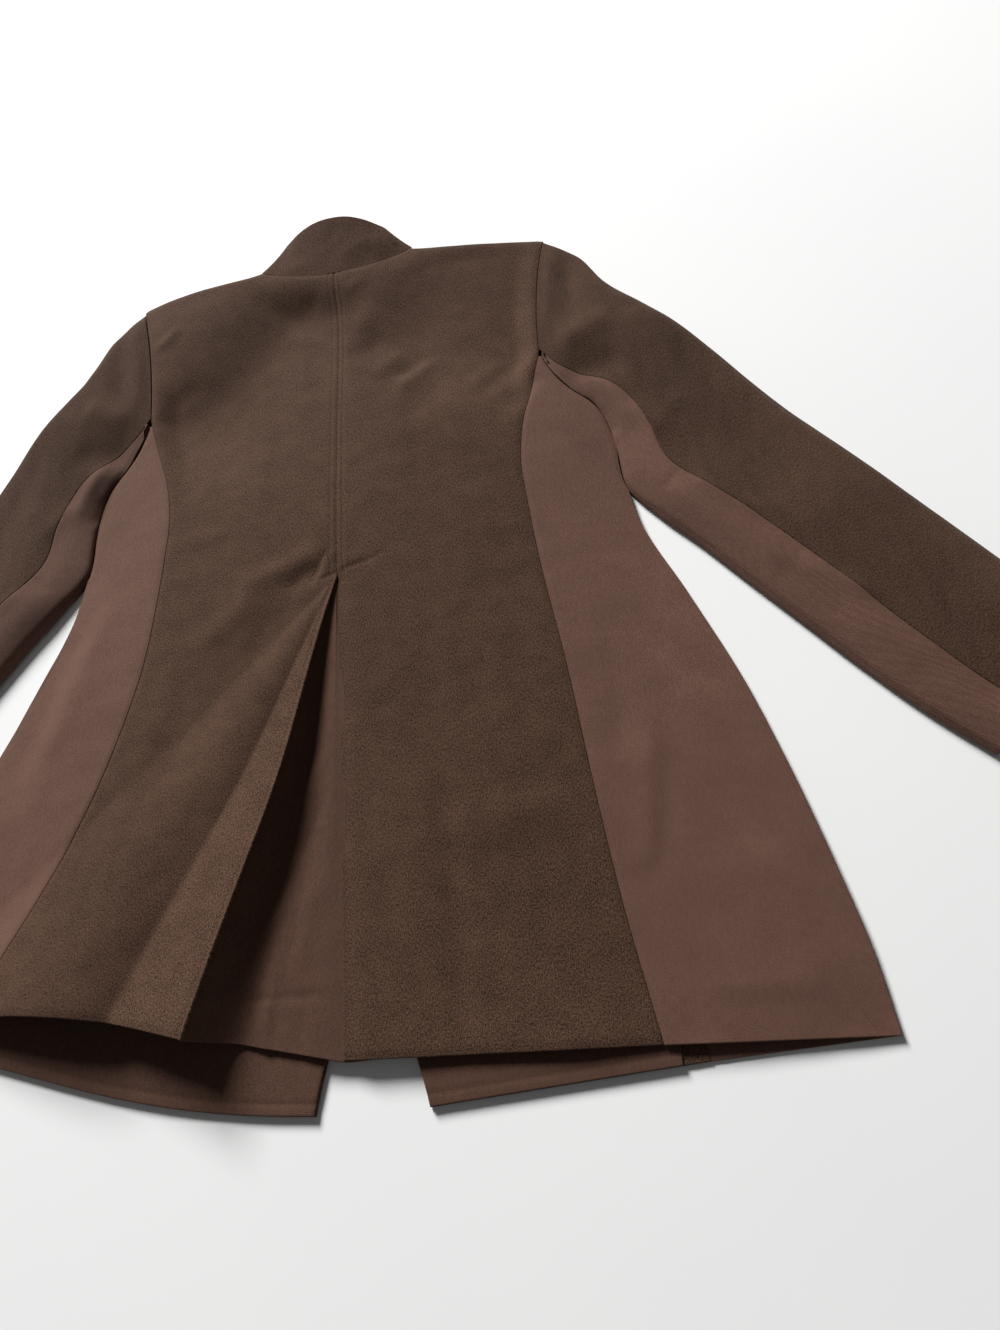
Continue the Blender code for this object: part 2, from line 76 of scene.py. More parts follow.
# Height of the back along its centre line, and the half width over which it falls away to the sides.
Crown = namedtuple("Crown", "down height half_span")
CROWN = rows_of(
    Crown,
    (-30, 42, 300), (0, 43, 300), (60, 40, 298), (132, 37, 290), (200, 34, 268), (281, 31.5, 251),
    (328, 30, 259), (444, 24, 304), (558, 18, 336), (700, 12, 360), (740, 12, 362),
)
CROWN_POWER = 2.2

# How much higher or lower each shoulder lies than an even one, and where that begins and is full.
Lean = namedtuple("Lean", "change begins full")
RIGHT_LEAN = Lean(-0.13, 0, 76)
LEFT_LEAN = Lean(0.30, 50, 200)
LEAN_FADE = 220.0

# The opened pleat: how far the left panel swings out around the pleat's top, and how its strip rises.
PLEAT_TOP = 336.0
STRIP_AT_HEM = 70.0
VALLEY_LIFT = 16.0
HUMP_LIFT = 75.0
EDGE_LIFT = 27.0
SWING_MOST = math.radians(17.0)
SWING_DRAW = 0.02
SWING_BOW = 0.13
BOW_FROM_TOP = 150.0
BOW_LONG = 95.0
SWING_REACH = math.radians(85.0)
SWING_FRONT_FULL = math.radians(43.8)
LIFT_REACH = math.radians(30.0)
LIFT_POWER = 1.6
LIFT_MOST = 1.05

# Soft ridges and troughs of the back and the sides, from one end to the other as they lie. The left side
# has negative "out". "bow" bends a crease sideways at its middle, and "far" is its width on one side where
# that differs.
Crease = namedtuple("Crease", "out down to_out to_down width height bow far", defaults=(0, 0))
BACK_CREASES = rows_of(
    Crease,
    (11, 71, 47, 46, 12, 1.2), (12, 109, 52, 77, 12, -1.9, 1), (27, 134, 67, 100, 9, 2.0, -1),
    (51, 137, 92, 107, 8, -2.1, -3), (53, 157, 94, 112, 9, 2.1), (60, 185, 111, 132, 15, -1.7, -1),
    (118, 169, 159, 123, 9, 1.1), (130, 172, 168, 128, 8, -0.5), (141, 181, 189, 124, 9, 1.5, -1),
    (158, 195, 192, 150, 8, -1.7), (9, 28, 31, 5, 7, 1.2, -1), (14, 262, 162, 308, 14, 0.5),
    (16, 244, 160, 291, 12, 0.7, -1), (60, 553, 201, 542, 16, 1.5, -1),
    (60, 582, 200, 567, 16, -0.6, -1), (79, 481, 84, 721, 10, -2.0, 1), (150, 600, 160, 733, 26, 1.3),
    (10, 349, 13, 692, 25, -2.0), (-62, 47, -10, 78, 9, 1.0, -1), (-33, 37, -9, 6, 8, -0.8, 1),
    (-192, 49, -158, 27, 7, 1.9, -2), (-171, 118, -140, 96, 10, -0.8), (-176, 275, -46, 271, 8, 0.7),
    (-3, 301, -97, 329, 10, 2.0, 5), (-61, 322, -137, 387, 13, 2.2, 6), (-10, 320, -48, 342, 8, -2.2),
    (-32, 330, -91, 410, 14, -2.0, 4), (-113, 371, -152, 520, 18, -0.5),
    (-150, 400, -189, 560, 21, 2.5, 1), (-94, 500, -150, 592, 17, -1.9, -1),
    (213, 378, 303, 486, 13, -2.2, -1), (206, 391, 207, 529, 9, -1.1, 9),
    (239, 510, 213, 616, 10, -1.2, 8), (232, 476, 216, 612, 10, 1.9, 6),
    (224, 672, 341, 679, 8, 0.8, 1), (298, 566, 328, 708, 31, 3.0, -3), (-212, 300, -262, 470, 14, 2.0),
    (-236, 300, -300, 500, 14, -2.0),
)
CREASE_END = 0.3
NECK_FADE = 36.0
NECK_FADE_FROM = 66.0
NECK_FADE_OUT = 40.0

# Broad hollows below each shoulder, where the cloth sinks between the blade and the padded shoulder.
SHOULDER_HOLLOWS = rows_of(
    Crease,
    (21, 57, 240, 158, 52, -10.5, -6, 90), (0, -58, -238, 176, 50, -15.5, 52, 100),
)
HOLLOW_NECK_FADE = 48.0
HOLLOW_SHOULDER_FADE = 22.0
HOLLOW_SIDE_FADE = 24.0

# The tack at the top of the pleat: a sewn groove across it and a fold running down to its left.
TACK_CREASES = rows_of(
    Crease,
    (-2, 332, 30, 325, 2.2, -0.8, 1), (22, 327, 44, 317, 2.4, -0.6), (2, 331, -16, 337, 2.2, -0.8),
    (-6, 304, -27, 346, 3.0, -0.9), (-1, 306, -17, 340, 5.0, 0.8), (2, 318, 26, 320, 7.0, 0.8),
)


def smooth(rows, key, column, at):
    """A smooth curve through one column of a table, read at the given values of its key column."""
    keys = np.array([getattr(row, key) for row in rows], float)
    values = np.array([getattr(row, column) for row in rows], float)
    slopes = np.gradient(values, keys)
    at = np.clip(np.asarray(at, float), keys[0], keys[-1])
    left = np.clip(np.searchsorted(keys, at) - 1, 0, len(keys) - 2)
    step = keys[left + 1] - keys[left]
    t = (at - keys[left]) / step
    rise = values[left + 1] - values[left]
    first = slopes[left] * step
    last = slopes[left + 1] * step
    return values[left] + t * (first + t * (3 * rise - 2 * first - last + t * (first + last - 2 * rise)))


def edge_at(rows, down):
    """How far out an edge lies."""
    return smooth(rows, "down", "out", down)


def ease(t):
    """Goes from 0 to 1 with level ends."""
    t = np.clip(t, 0, 1)
    return t * t * (3 - 2 * t)


def lerp(a, b, t):
    return a + (b - a) * t


def bump(distance, width):
    """A soft mound of height 1 about a line."""
    return np.exp(-(distance / width) ** 2)


def back_top(out):
    """How far down the back's upper edge lies: the neck curve, then the shoulder."""
    shoulder = np.clip((out - NECK_HALF) / (SHOULDER_OUT - NECK_HALF), 0, None) ** SHOULDER_SAG
    neck = -NECK_RISE * (out / NECK_HALF) ** 2
    return np.where(out < NECK_HALF, neck, -lerp(NECK_RISE, SHOULDER_RISE, shoulder))


def back_seam(down):
    """How far out the back's outer edge lies: the armhole, then the seam to the side panel."""
    return np.where(down < APEX_DOWN, edge_at(ARMHOLE, down), edge_at(BACK_PRINCESS, down))


def leaned(out, down):
    """Share by which heights change where a shoulder lies higher or lower."""
    change = 0
    for outward, lean in ((out, RIGHT_LEAN), (-out, LEFT_LEAN)):
        change = change + lean.change * ease((outward - lean.begins) / (lean.full - lean.begins))
    return 1 + change * (1 - ease(down / LEAN_FADE))


def back_height(out, down):
    """Height of the back's outer face over the table, before it is swung out or creased."""
    crown = smooth(CROWN, "down", "height", down)
    span = smooth(CROWN, "down", "half_span", down)
    fall = np.clip(np.abs(out) / span, 0, 1) ** CROWN_POWER
    return (FOLD_TOP + (crown - FOLD_TOP) * (1 - fall)) * leaned(out, down)


def turned(out, down, front):
    """Swings a mirrored left-hand point out around the top of the pleat, and gives its lift as well."""
    below = down - PLEAT_TOP
    angle = np.arctan2(np.maximum(out, 0), below)
    reach = np.hypot(out, below)
    turn = SWING_MOST * 0.5 * (1 + np.cos(math.pi * np.clip(angle / SWING_REACH, 0, 1)))
    if front:
        turn = turn * ease(angle / SWING_FRONT_FULL)
    else:
        turn = turn * (1 - SWING_BOW * bump(reach - BOW_FROM_TOP, BOW_LONG))
    drawn = reach if front else reach * (1 - SWING_DRAW * turn / SWING_MOST)
    strip = np.arctan2(STRIP_AT_HEM, BACK_HEM_CENTRE - PLEAT_TOP)
    beyond = np.clip((angle - strip) / LIFT_REACH, 0, 1)
    rise = np.where(angle < strip, lerp(EDGE_LIFT, VALLEY_LIFT, np.clip(angle / strip, 0, 1)),
                    (VALLEY_LIFT + HUMP_LIFT * beyond) * (1 - beyond) ** LIFT_POWER)
    lift = rise * np.clip(reach / (BACK_HEM_CENTRE - PLEAT_TOP), 0, LIFT_MOST) * (below > 0)
    return drawn * np.sin(angle + turn), PLEAT_TOP + drawn * np.cos(angle + turn), lift


def creased(creases, out, down):
    """Height that a list of creases adds at points of the plan."""
    total = np.zeros(np.broadcast(out, down).shape)
    for crease in creases:
        run_out = crease.to_out - crease.out
        run_down = crease.to_down - crease.down
        length = math.hypot(run_out, run_down)
        along = ((out - crease.out) * run_out + (down - crease.down) * run_down) / length ** 2
        aside = ((out - crease.out) * run_down - (down - crease.down) * run_out) / length
        bowed = aside - crease.bow * 4 * along * (1 - along)
        ends = ease(along / CREASE_END) * ease((1 - along) / CREASE_END)
        width = np.where(bowed > 0, crease.far or crease.width, crease.width)
        total += crease.height * bump(bowed, width) * ends
    return total


def back_relief(out, down):
    """Height of the back's creases and hollows, which fade towards the neck and the shoulders."""
    below = ease((down - back_top(np.abs(out))) / NECK_FADE)
    beside = ease((np.abs(out) - NECK_FADE_FROM) / NECK_FADE_OUT)
    fade = lerp(HOLLOW_NECK_FADE, HOLLOW_SHOULDER_FADE, beside)
    inside = ease((down - back_top(np.abs(out))) / fade)
    inside = inside * ease((back_seam(down) - np.abs(out)) / HOLLOW_SIDE_FADE)
    hollow = creased(SHOULDER_HOLLOWS, out, down) * inside
    return creased(BACK_CREASES, out, down) * (1 - (1 - below) * (1 - beside)) + hollow


# The slight unevenness of soft cloth: wide waves that sway and narrow slanting ones, by length and height.
Wave = namedtuple("Wave", "length sway sway_length")
WIDE_ACROSS = Wave(23, 1.3, 41)
WIDE_ALONG = Wave(29, 0.8, 37)
WIDE_HEIGHT = 0.35
NARROW_OUT = 9.1
NARROW_DOWN = 13.7
NARROW_SWAY = 19.0
CROSS_OUT = 15.1
CROSS_DOWN = 8.3
NARROW_HEIGHT = 0.12


def swaying(at, aside, wave):
    """A wave along one direction that sways with the other."""
    return np.sin(at / wave.length + wave.sway * np.sin(aside / wave.sway_length))


def uneven(out, down):
    """Height of the cloth's slight unevenness, a fraction of a millimetre."""
    wide = swaying(out, down, WIDE_ACROSS) * swaying(down, out, WIDE_ALONG)
    slant = np.sin(out / NARROW_OUT + down / NARROW_DOWN + np.sin(down / NARROW_SWAY))
    narrow = slant * np.sin(down / CROSS_DOWN - out / CROSS_OUT)
    return WIDE_HEIGHT * wide + NARROW_HEIGHT * narrow


def placed(out, down, height):
    """Points as they lie, in metres."""
    return np.stack([out, PLAN_CENTRE_DOWN - down, height], -1) * MM


def back_face(out, down, left, dip):
    """The back's outer face over points of its flat plan, as it lies."""
    height = back_height(-out if left else out, down) + dip
    if left:
        out, down, lift = turned(out, down, False)
        out = -out
        height = height + lift
    return placed(out, down, height + back_relief(out, down) + uneven(out, down))


FINE_STEP = 1.3
EDGE_BAND = 9.0


def stations(length, step):
    """Shares of a length at which cloth points are set, closer together near both ends."""
    near = np.arange(0, EDGE_BAND, FINE_STEP)
    middle = np.linspace(EDGE_BAND, length - EDGE_BAND, int((length - 2 * EDGE_BAND) / step))
    return np.concatenate([near, middle, length - near[::-1]]) / length


def patch(inner, outer, hem, top, across, along):
    """Fills four plan edges: inner and outer run from hem to top, hem and top from inner to outer."""
    u = across[None, :, None]
    v = along[:, None, None]
    between = (1 - u) * inner[:, None] + u * outer[:, None]
    upward = (1 - v) * hem[None] + v * top[None]
    corners = (1 - u) * ((1 - v) * hem[0] + v * top[0]) + u * ((1 - v) * hem[-1] + v * top[-1])
    return between + upward - corners


def panel_plan(inner, seam, hem_down, neck_out, upper_edge, across, along):
    """Plan of a back or front panel from its centre edge to its outer seam, up to neck and shoulder."""
    outer_down = lerp(hem_down, -SHOULDER_RISE + SEAM_HALF, along)
    outer = np.stack([seam(outer_down) - SEAM_HALF, outer_down], -1)
    hem = lerp(inner[0], outer[0], across[:, None])
    top_out = np.interp(across, (0, NECK_SHARE, 1), (neck_out, NECK_HALF, SHOULDER_OUT - SEAM_HALF))
    top = np.stack([top_out, upper_edge(top_out) + SEAM_HALF], -1)
    return patch(inner, outer, hem, top, across, along)


def added(name, data):
    """A new object of the scene."""
    thing = bpy.data.objects.new(name, data)
    bpy.context.collection.objects.link(thing)
    return thing


ROUND_STEPS = (math.pi / 4, math.pi / 2, 3 * math.pi / 4)
INSET_MOST = 0.45
EDGE_ROUND = 0.3


def cloth(name, face, thickness, cut, nap=None, keep=None, flipped=False):
    """A closed cloth wall: an outer face, an inner face behind it, and a rounded edge all round."""
    if flipped:
        face, cut, nap, keep = (part if part is None else part[:, ::-1] for part in (face, cut, nap, keep))
    rows, columns = face.shape[:2]
    count = rows * columns
    thickness = thickness * MM
    index = np.arange(count).reshape(rows, columns)
    quads = np.stack([index[:-1, :-1], index[:-1, 1:], index[1:, 1:], index[1:, :-1]], -1)
    quads = quads.reshape(-1, 4) if keep is None else quads[keep]
    normal = np.cross(np.gradient(face, axis=1), np.gradient(face, axis=0)).reshape(-1, 3)
    normal /= np.linalg.norm(normal, axis=1, keepdims=True)
    points = face.reshape(-1, 3).copy()
    sides = np.concatenate([quads[:, [k, (k + 1) % 4]] for k in range(4)])
    rim = sides[~np.isin(sides[:, 0] * count + sides[:, 1], sides[:, 1] * count + sides[:, 0])]
    border = np.unique(rim)
    centre = points[quads].mean(1)
    away = np.zeros_like(points)
    for corner in range(4):
        np.add.at(away, quads[:, corner], points[quads[:, corner]] - centre)
    away = away[border]
    away -= normal[border] * (away * normal[border]).sum(1, keepdims=True)
    room = np.linalg.norm(away, axis=1, keepdims=True)
    away /= room
    inset = np.minimum(EDGE_ROUND * thickness, INSET_MOST * room)
    points[border] -= away * inset
    inner = points - normal * thickness
    half = normal[border] * thickness / 2
    middle = points[border] - half
    rings = [middle + away * inset * math.sin(step) + half * math.cos(step) for step in ROUND_STEPS]
    place = np.zeros(count, int)
    place[border] = np.arange(len(border))
    turns = [2 * count + ring * len(border) + place[rim] for ring in range(len(rings))]
    loops = [rim, *turns, rim + count]
    faces = [quads, quads[:, ::-1] + count]
    for near, far in zip(loops[:-1], loops[1:]):
        faces.append(np.stack([near[:, 1], near[:, 0], far[:, 0], far[:, 1]], -1))
    faces = np.concatenate(faces)
    points = np.concatenate([points, inner] + rings)
    source = np.concatenate([np.arange(count), np.arange(count)] + [border] * len(rings))
    used, faces = np.unique(faces, return_inverse=True)
    mesh = bpy.data.meshes.new(name)
    mesh.from_pydata(points[used].tolist(), [], faces.reshape(-1, 4).tolist())
    flat = np.zeros((len(used), 3))
    flat[:, :2] = cut.reshape(-1, 2)[source[used]] * MM
    mesh.attributes.new("cut", "FLOAT_VECTOR", "POINT").data.foreach_set("vector", flat.ravel())
    # An optional share per point of painted light (above 0) or painted shade (below 0) for the wool's
    # colour.
    if nap is not None:
        mesh.attributes.new("nap", "FLOAT", "POINT").data.foreach_set("value", nap.ravel()[source[used]])
    mesh.shade_smooth()
    return added(name, mesh)


class Tone:
    """One value of a finish's nodes. Sums and products of values add Math nodes."""

    def __init__(self, tree, socket=None):
        self.tree = tree
        self.socket = socket

    def node(self, kind, settings, sockets, result=0):
        """Adds a node: its settings first, then the value or the link of each socket."""
        node = self.tree.nodes.new(kind)
        for name, value in settings.items():
            setattr(node, name, value)
        for name, value in sockets.items():
            if isinstance(value, Tone):
                self.tree.links.new(value.socket, node.inputs[name])
            else:
                node.inputs[name].default_value = value
        return Tone(self.tree, node.outputs[result])

    def math(self, operation, first, second):
        return self.node("ShaderNodeMath", {"operation": operation}, {0: first, 1: second})

    def __add__(self, other):
        return self.math("ADD", self, other)

    def __sub__(self, other):
        return self.math("SUBTRACT", self, other)

    def __rsub__(self, other):
        return self.math("SUBTRACT", other, self)

    def __mul__(self, other):
        return self.math("MULTIPLY", self, other)

    __radd__ = __add__
    __rmul__ = __mul__


Speckle = namedtuple("Speckle", "scale detail rough weight")


def noise(tone, where, speckle):
    """Soft random values from 0 to 1 over the cut cloth."""
    spread = tone.node("ShaderNodeMapping", {}, {"Vector": where, "Scale": speckle.scale})
    return tone.node("ShaderNodeTexNoise", {"noise_dimensions": "2D"},
                     {"Vector": spread, "Scale": 1.0, "Detail": speckle.detail, "Roughness": speckle.rough})


def weighed(values, speckles):
    """How far the values of several speckles together lie above or below their middle."""
    return sum((value - 0.5) * speckle.weight for value, speckle in zip(values, speckles))


# A colour Mix node's sockets by number.
MIX_FIRST = 6
MIX_SECOND = 7
MIX_RESULT = 2


def blend(tone, share, first, second):
    """A colour between two colours."""
    sockets = {0: share, MIX_FIRST: first, MIX_SECOND: second}
    return tone.node("ShaderNodeMix", {"data_type": "RGBA"}, sockets, MIX_RESULT)


CLOTH_SPECULAR = 0.2
SHEEN_ROUGH = 0.6
RELIEF_STRENGTH = 0.8


def finish(colour, rough, sheen, tint, height, depth):
    """A cloth surface from its colour and the height of its weave or nap."""
    tree = colour.tree
    surface = tree.nodes["Principled BSDF"]
    tree.links.new(colour.socket, surface.inputs["Base Color"])
    values = {"Roughness": rough, "Specular IOR Level": CLOTH_SPECULAR, "Sheen Weight": sheen,
              "Sheen Roughness": SHEEN_ROUGH, "Sheen Tint": tint}
    for name, value in values.items():
        surface.inputs[name].default_value = value
    relief = colour.node("ShaderNodeBump", {},
                         {"Strength": RELIEF_STRENGTH, "Distance": depth, "Height": height})
    tree.links.new(relief.socket, surface.inputs["Normal"])


def start(name):
    """A new material, the place to add its nodes, and the flat coordinates of the cut cloth."""
    material = bpy.data.materials.new(name)
    material.use_nodes = True
    tone = Tone(material.node_tree)
    return material, tone, tone.node("ShaderNodeAttribute", {"attribute_name": "cut"}, {}, "Vector")


WOOL_DARK = (0.022, 0.0105, 0.0060, 1)
WOOL_LIGHT = (0.134, 0.0710, 0.0440, 1)
WOOL_TOWARDS = (0.165, 0.089, 0.056, 1)
WOOL_AWAY = (0.085, 0.045, 0.027, 1)
WOOL_SHEEN = (0.60, 0.42, 0.32, 1)
GRAIN_RELIEF = 0.6
FIBRE_RELIEF = 0.5

# Grain and fibres of the nap, then its small and its broad patches.
WOOL_SPECKLES = rows_of(
    Speckle,
    ((860, 860, 1), 3, 0.75, 2.9), ((1500, 420, 1), 2, 0.6, 1.5), ((55, 55, 1), 2, 0.6, 0.36),
    ((11, 11, 1), 2, 0.5, 0.24),
)


def wool():
    """Thick brown wool: pale and dark fibres in a short nap, lighter where it lies towards the light."""
    material, tone, cut = start("napped_wool")
    values = [noise(tone, cut, speckle) for speckle in WOOL_SPECKLES]
    mix = weighed(values, WOOL_SPECKLES) + 0.5
    grain, fibre = values[:2]
    nap = tone.node("ShaderNodeAttribute", {"attribute_name": "nap"}, {}, "Fac")
    brushed = blend(tone, nap, blend(tone, 0.0 - nap, WOOL_LIGHT, WOOL_AWAY), WOOL_TOWARDS)
    colour = blend(tone, mix, WOOL_DARK, brushed)
    height = grain * GRAIN_RELIEF + fibre * FIBRE_RELIEF
    finish(colour, rough=0.95, sheen=0.05, tint=WOOL_SHEEN, height=height, depth=0.0011)
    return material


Flat = namedtuple("Flat", "size area")


def dress(piece, node, material):
    """Gives a cloth piece its finish, its place on the jacket and its flat size."""
    piece.data.materials.append(material)
    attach(piece, "root")
    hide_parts(node)


CENTRE_FINE = 42.0
BACK_STEP = 2.8
BACK_WIDE = 190.0
TACK_FROM = 296.0
TACK_TO = 350.0
HEM_TO_TACK_ROWS = 126
TACK_TO_TOP_ROWS = 106
SEWN_ABOVE = 8.0
SEWN_FADE = 12.0
TOPSTITCH_OUT = 5.5
EDGE_STITCH_OUT = 3.2
Groove = namedtuple("Groove", "deep wide")
CENTRE_SEAM = Groove(0.8, 2.0)
TOPSTITCH_LEFT = Groove(0.55, 1.3)
TOPSTITCH_RIGHT = Groove(0.65, 1.3)
EDGE_STITCH = Groove(0.5, 1.1)
PLEAT_FOLD = Groove(2.4, 8.0)
PANEL_SEAM = Groove(0.8, 3.2)
SHOULDER_SEAM = Groove(0.8, 3.0)
BACK_HEM = Groove(0.9, 3.5)
# Where painted light lies on the left panel's pleat strip: how soft its edge is, its least width, and where
# it begins below the pleat's top.
STRIP_SOFT = 0.12
STRIP_LEAST = 11.0
STRIP_BEGINS = 0.05

wool_cloth = wool()


def pulled(groove, distance):
    """How far a line of sewing pulls the cloth in at a distance from it."""
    return -groove.deep * bump(distance, groove.wide)


def back_dip(out, down, left):
    """How the sewing pulls a back panel's face in: seams, topstitching, the tack and the folded edges."""
    sewn = 1 - ease((down - PLEAT_TOP + SEWN_ABOVE) / SEWN_FADE)
    seam = pulled(CENTRE_SEAM, out)
    topstitch = pulled(TOPSTITCH_LEFT if left else TOPSTITCH_RIGHT, out - TOPSTITCH_OUT)
    fold = pulled(EDGE_STITCH, out - EDGE_STITCH_OUT) if left else pulled(PLEAT_FOLD, out)
    side = pulled(PANEL_SEAM, back_seam(down) - out)
    top = pulled(SHOULDER_SEAM, down - back_top(out))
    hem = pulled(BACK_HEM, lerp(BACK_HEM_CENTRE, BACK_HEM_SEAM, out / SHOULDER_OUT) - down)
    tack = creased(TACK_CREASES, -out if left else out, down)
    return (seam + topstitch) * sewn + fold * (1 - sewn) + side + top + hem + tack


def back_panel(side):
    left = side == "left"
    centre = SEAM_HALF if left else -CENTRE_LAP
    near = np.arange(0, EDGE_BAND, FINE_STEP)
    beside_centre = np.arange(0, CENTRE_FINE, FINE_STEP)
    to_seam = np.arange(CENTRE_FINE, BACK_WIDE - EDGE_BAND, BACK_STEP)
    across = np.concatenate([beside_centre, to_seam, BACK_WIDE - near[::-1]]) / BACK_WIDE
    hem_to_tack = np.linspace(BACK_HEM_CENTRE - EDGE_BAND, TACK_TO, HEM_TO_TACK_ROWS)
    tack = np.arange(TACK_TO, TACK_FROM, -FINE_STEP)[1:]
    tack_to_top = np.linspace(TACK_FROM, EDGE_BAND, TACK_TO_TOP_ROWS)
    down = np.concatenate([BACK_HEM_CENTRE - near, hem_to_tack, tack, tack_to_top, near[::-1]])
    along = 1 - down / BACK_HEM_CENTRE
    inner = np.stack([np.full_like(along, centre), lerp(BACK_HEM_CENTRE, SEAM_HALF, along)], -1)
    plan = panel_plan(inner, back_seam, BACK_HEM_SEAM, centre, back_top, across, along)
    out, down = plan[..., 0], plan[..., 1]
    face = back_face(out, down, left, back_dip(out, down, left))
    # Painted light: the left panel's pleat strip is painted lighter, from just below the pleat's top down to
    # the hem.
    opened = (down - PLEAT_TOP) / (BACK_HEM_CENTRE - PLEAT_TOP)
    strip = out / np.maximum(STRIP_LEAST, STRIP_AT_HEM * opened)
    nap = ease((1 - strip) / STRIP_SOFT) * left * ease(opened / STRIP_BEGINS)
    piece = cloth(side + "_back_panel", face, WOOL_THICK, plan, nap, flipped=left)
    dress(piece, "back_" + side, wool_cloth)


back_panel("right")
back_panel("left")

# The stitching
# Matching thread, a little paler than the wool: topstitching on both sides of the centre-back seam, edge
# stitching along the pleat's left edge, and the curved line of the tack. Each stitch is a short bead half
# sunk into the nap.
STITCH_LONG = 2.7
STITCH_PITCH = 3.4
STITCH_RADIUS = 0.32
STITCH_SIDES = 6
STITCH_RINGS = ((-0.5, 0.0), (-0.36, 0.8), (0.0, 1.0), (0.36, 0.8), (0.5, 0.0))
THREAD = (0.085, 0.052, 0.038, 1)
THREAD_WORN = (0.120, 0.078, 0.058, 1)
TWIST_SCALE = 900
TWIST_DETAIL = 2
STITCH_SAMPLES = 160
STITCH_FROM_EDGE = 4.0
TOPSTITCH_ENDS = 12.0
EDGE_STITCH_BEGINS = 8.0
TACK_LINE = rows_of(Edge, (331, 1), (325, 28), (318, 41))
TACK_SAMPLES = 40


def stitch_row(path):
    """Beads of thread along a path of points in metres, as points and faces."""
    run = np.concatenate([[0], np.cumsum(np.linalg.norm(np.diff(path, axis=0), axis=1))])
    count = int(run[-1] / (STITCH_PITCH * MM))
    middle = (np.arange(count) + 0.5) * STITCH_PITCH * MM
    ends = [np.stack([np.interp(middle + share * STITCH_LONG * MM, run, path[:, k]) for k in range(3)], -1)
            for share in (-0.5, 0.5)]
    ahead = ends[1] - ends[0]
    aside = np.cross(ahead, (0, 0, 1))
    aside /= np.linalg.norm(aside, axis=1, keepdims=True)
    upward = np.cross(aside, ahead)
    upward /= np.linalg.norm(upward, axis=1, keepdims=True)
    spin = np.linspace(0, 2 * math.pi, STITCH_SIDES, endpoint=False)
    points = []
    for share, size in STITCH_RINGS:
        centre = (ends[0] + ends[1]) / 2 + ahead * share
        radius = STITCH_RADIUS * MM * size
        points.append(centre[:, None] + radius * (np.cos(spin)[None, :, None] * aside[:, None]
                                                  + np.sin(spin)[None, :, None] * upward[:, None]))
    points = np.stack(points, 1).reshape(count, -1, 3)
    ring = np.arange(STITCH_SIDES)
    faces = []
    for level in range(len(STITCH_RINGS) - 1):
        low = level * STITCH_SIDES + ring
        near = level * STITCH_SIDES + (ring + 1) % STITCH_SIDES
        faces.append(np.stack([low + STITCH_SIDES, near + STITCH_SIDES, near, low], -1))
    faces = np.concatenate(faces)[None] + np.arange(count)[:, None, None] * points.shape[1]
    return points.reshape(-1, 3), faces.reshape(-1, 4)


def thread():
    material = bpy.data.materials.new("thread")
    material.use_nodes = True
    tone = Tone(material.node_tree)
    where = tone.node("ShaderNodeTexCoord", {}, {}, "Object")
    twist = tone.node("ShaderNodeTexNoise", {},
                      {"Vector": where, "Scale": TWIST_SCALE, "Detail": TWIST_DETAIL})
    colour = blend(tone, twist, THREAD, THREAD_WORN)
    finish(colour, rough=0.7, sheen=0.1, tint=WOOL_SHEEN, height=twist, depth=0.0002)
    return material


stitch_down = np.linspace(STITCH_FROM_EDGE, PLEAT_TOP - TOPSTITCH_ENDS, STITCH_SAMPLES)
edge_down = np.linspace(PLEAT_TOP + EDGE_STITCH_BEGINS, BACK_HEM_CENTRE - STITCH_FROM_EDGE, STITCH_SAMPLES)
seam_line = np.full_like(stitch_down, TOPSTITCH_OUT)
edge_line = np.full_like(edge_down, EDGE_STITCH_OUT)
tack_out = np.linspace(TACK_LINE[0].out, TACK_LINE[-1].out, TACK_SAMPLES)
tack_down = np.interp(tack_out, [row.out for row in TACK_LINE], [row.down for row in TACK_LINE])
stitch_lines = (
    (seam_line, stitch_down, False), (seam_line, stitch_down, True), (edge_line, edge_down, True),
    (tack_out, tack_down, False),
)
stitch_points = []
stitch_faces = []
for out, down, left in stitch_lines:
    points, faces = stitch_row(back_face(out, down, left, back_dip(out, down, left)))
    stitch_faces.append(faces + sum(len(done) for done in stitch_points))
    stitch_points.append(points)
stitch_mesh = bpy.data.meshes.new("stitching")
stitch_mesh.from_pydata(np.concatenate(stitch_points).tolist(), [], np.concatenate(stitch_faces).tolist())
stitch_mesh.shade_smooth()
stitch_mesh.materials.append(thread())
stitching = added("stitching", stitch_mesh)
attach(stitching, "root")

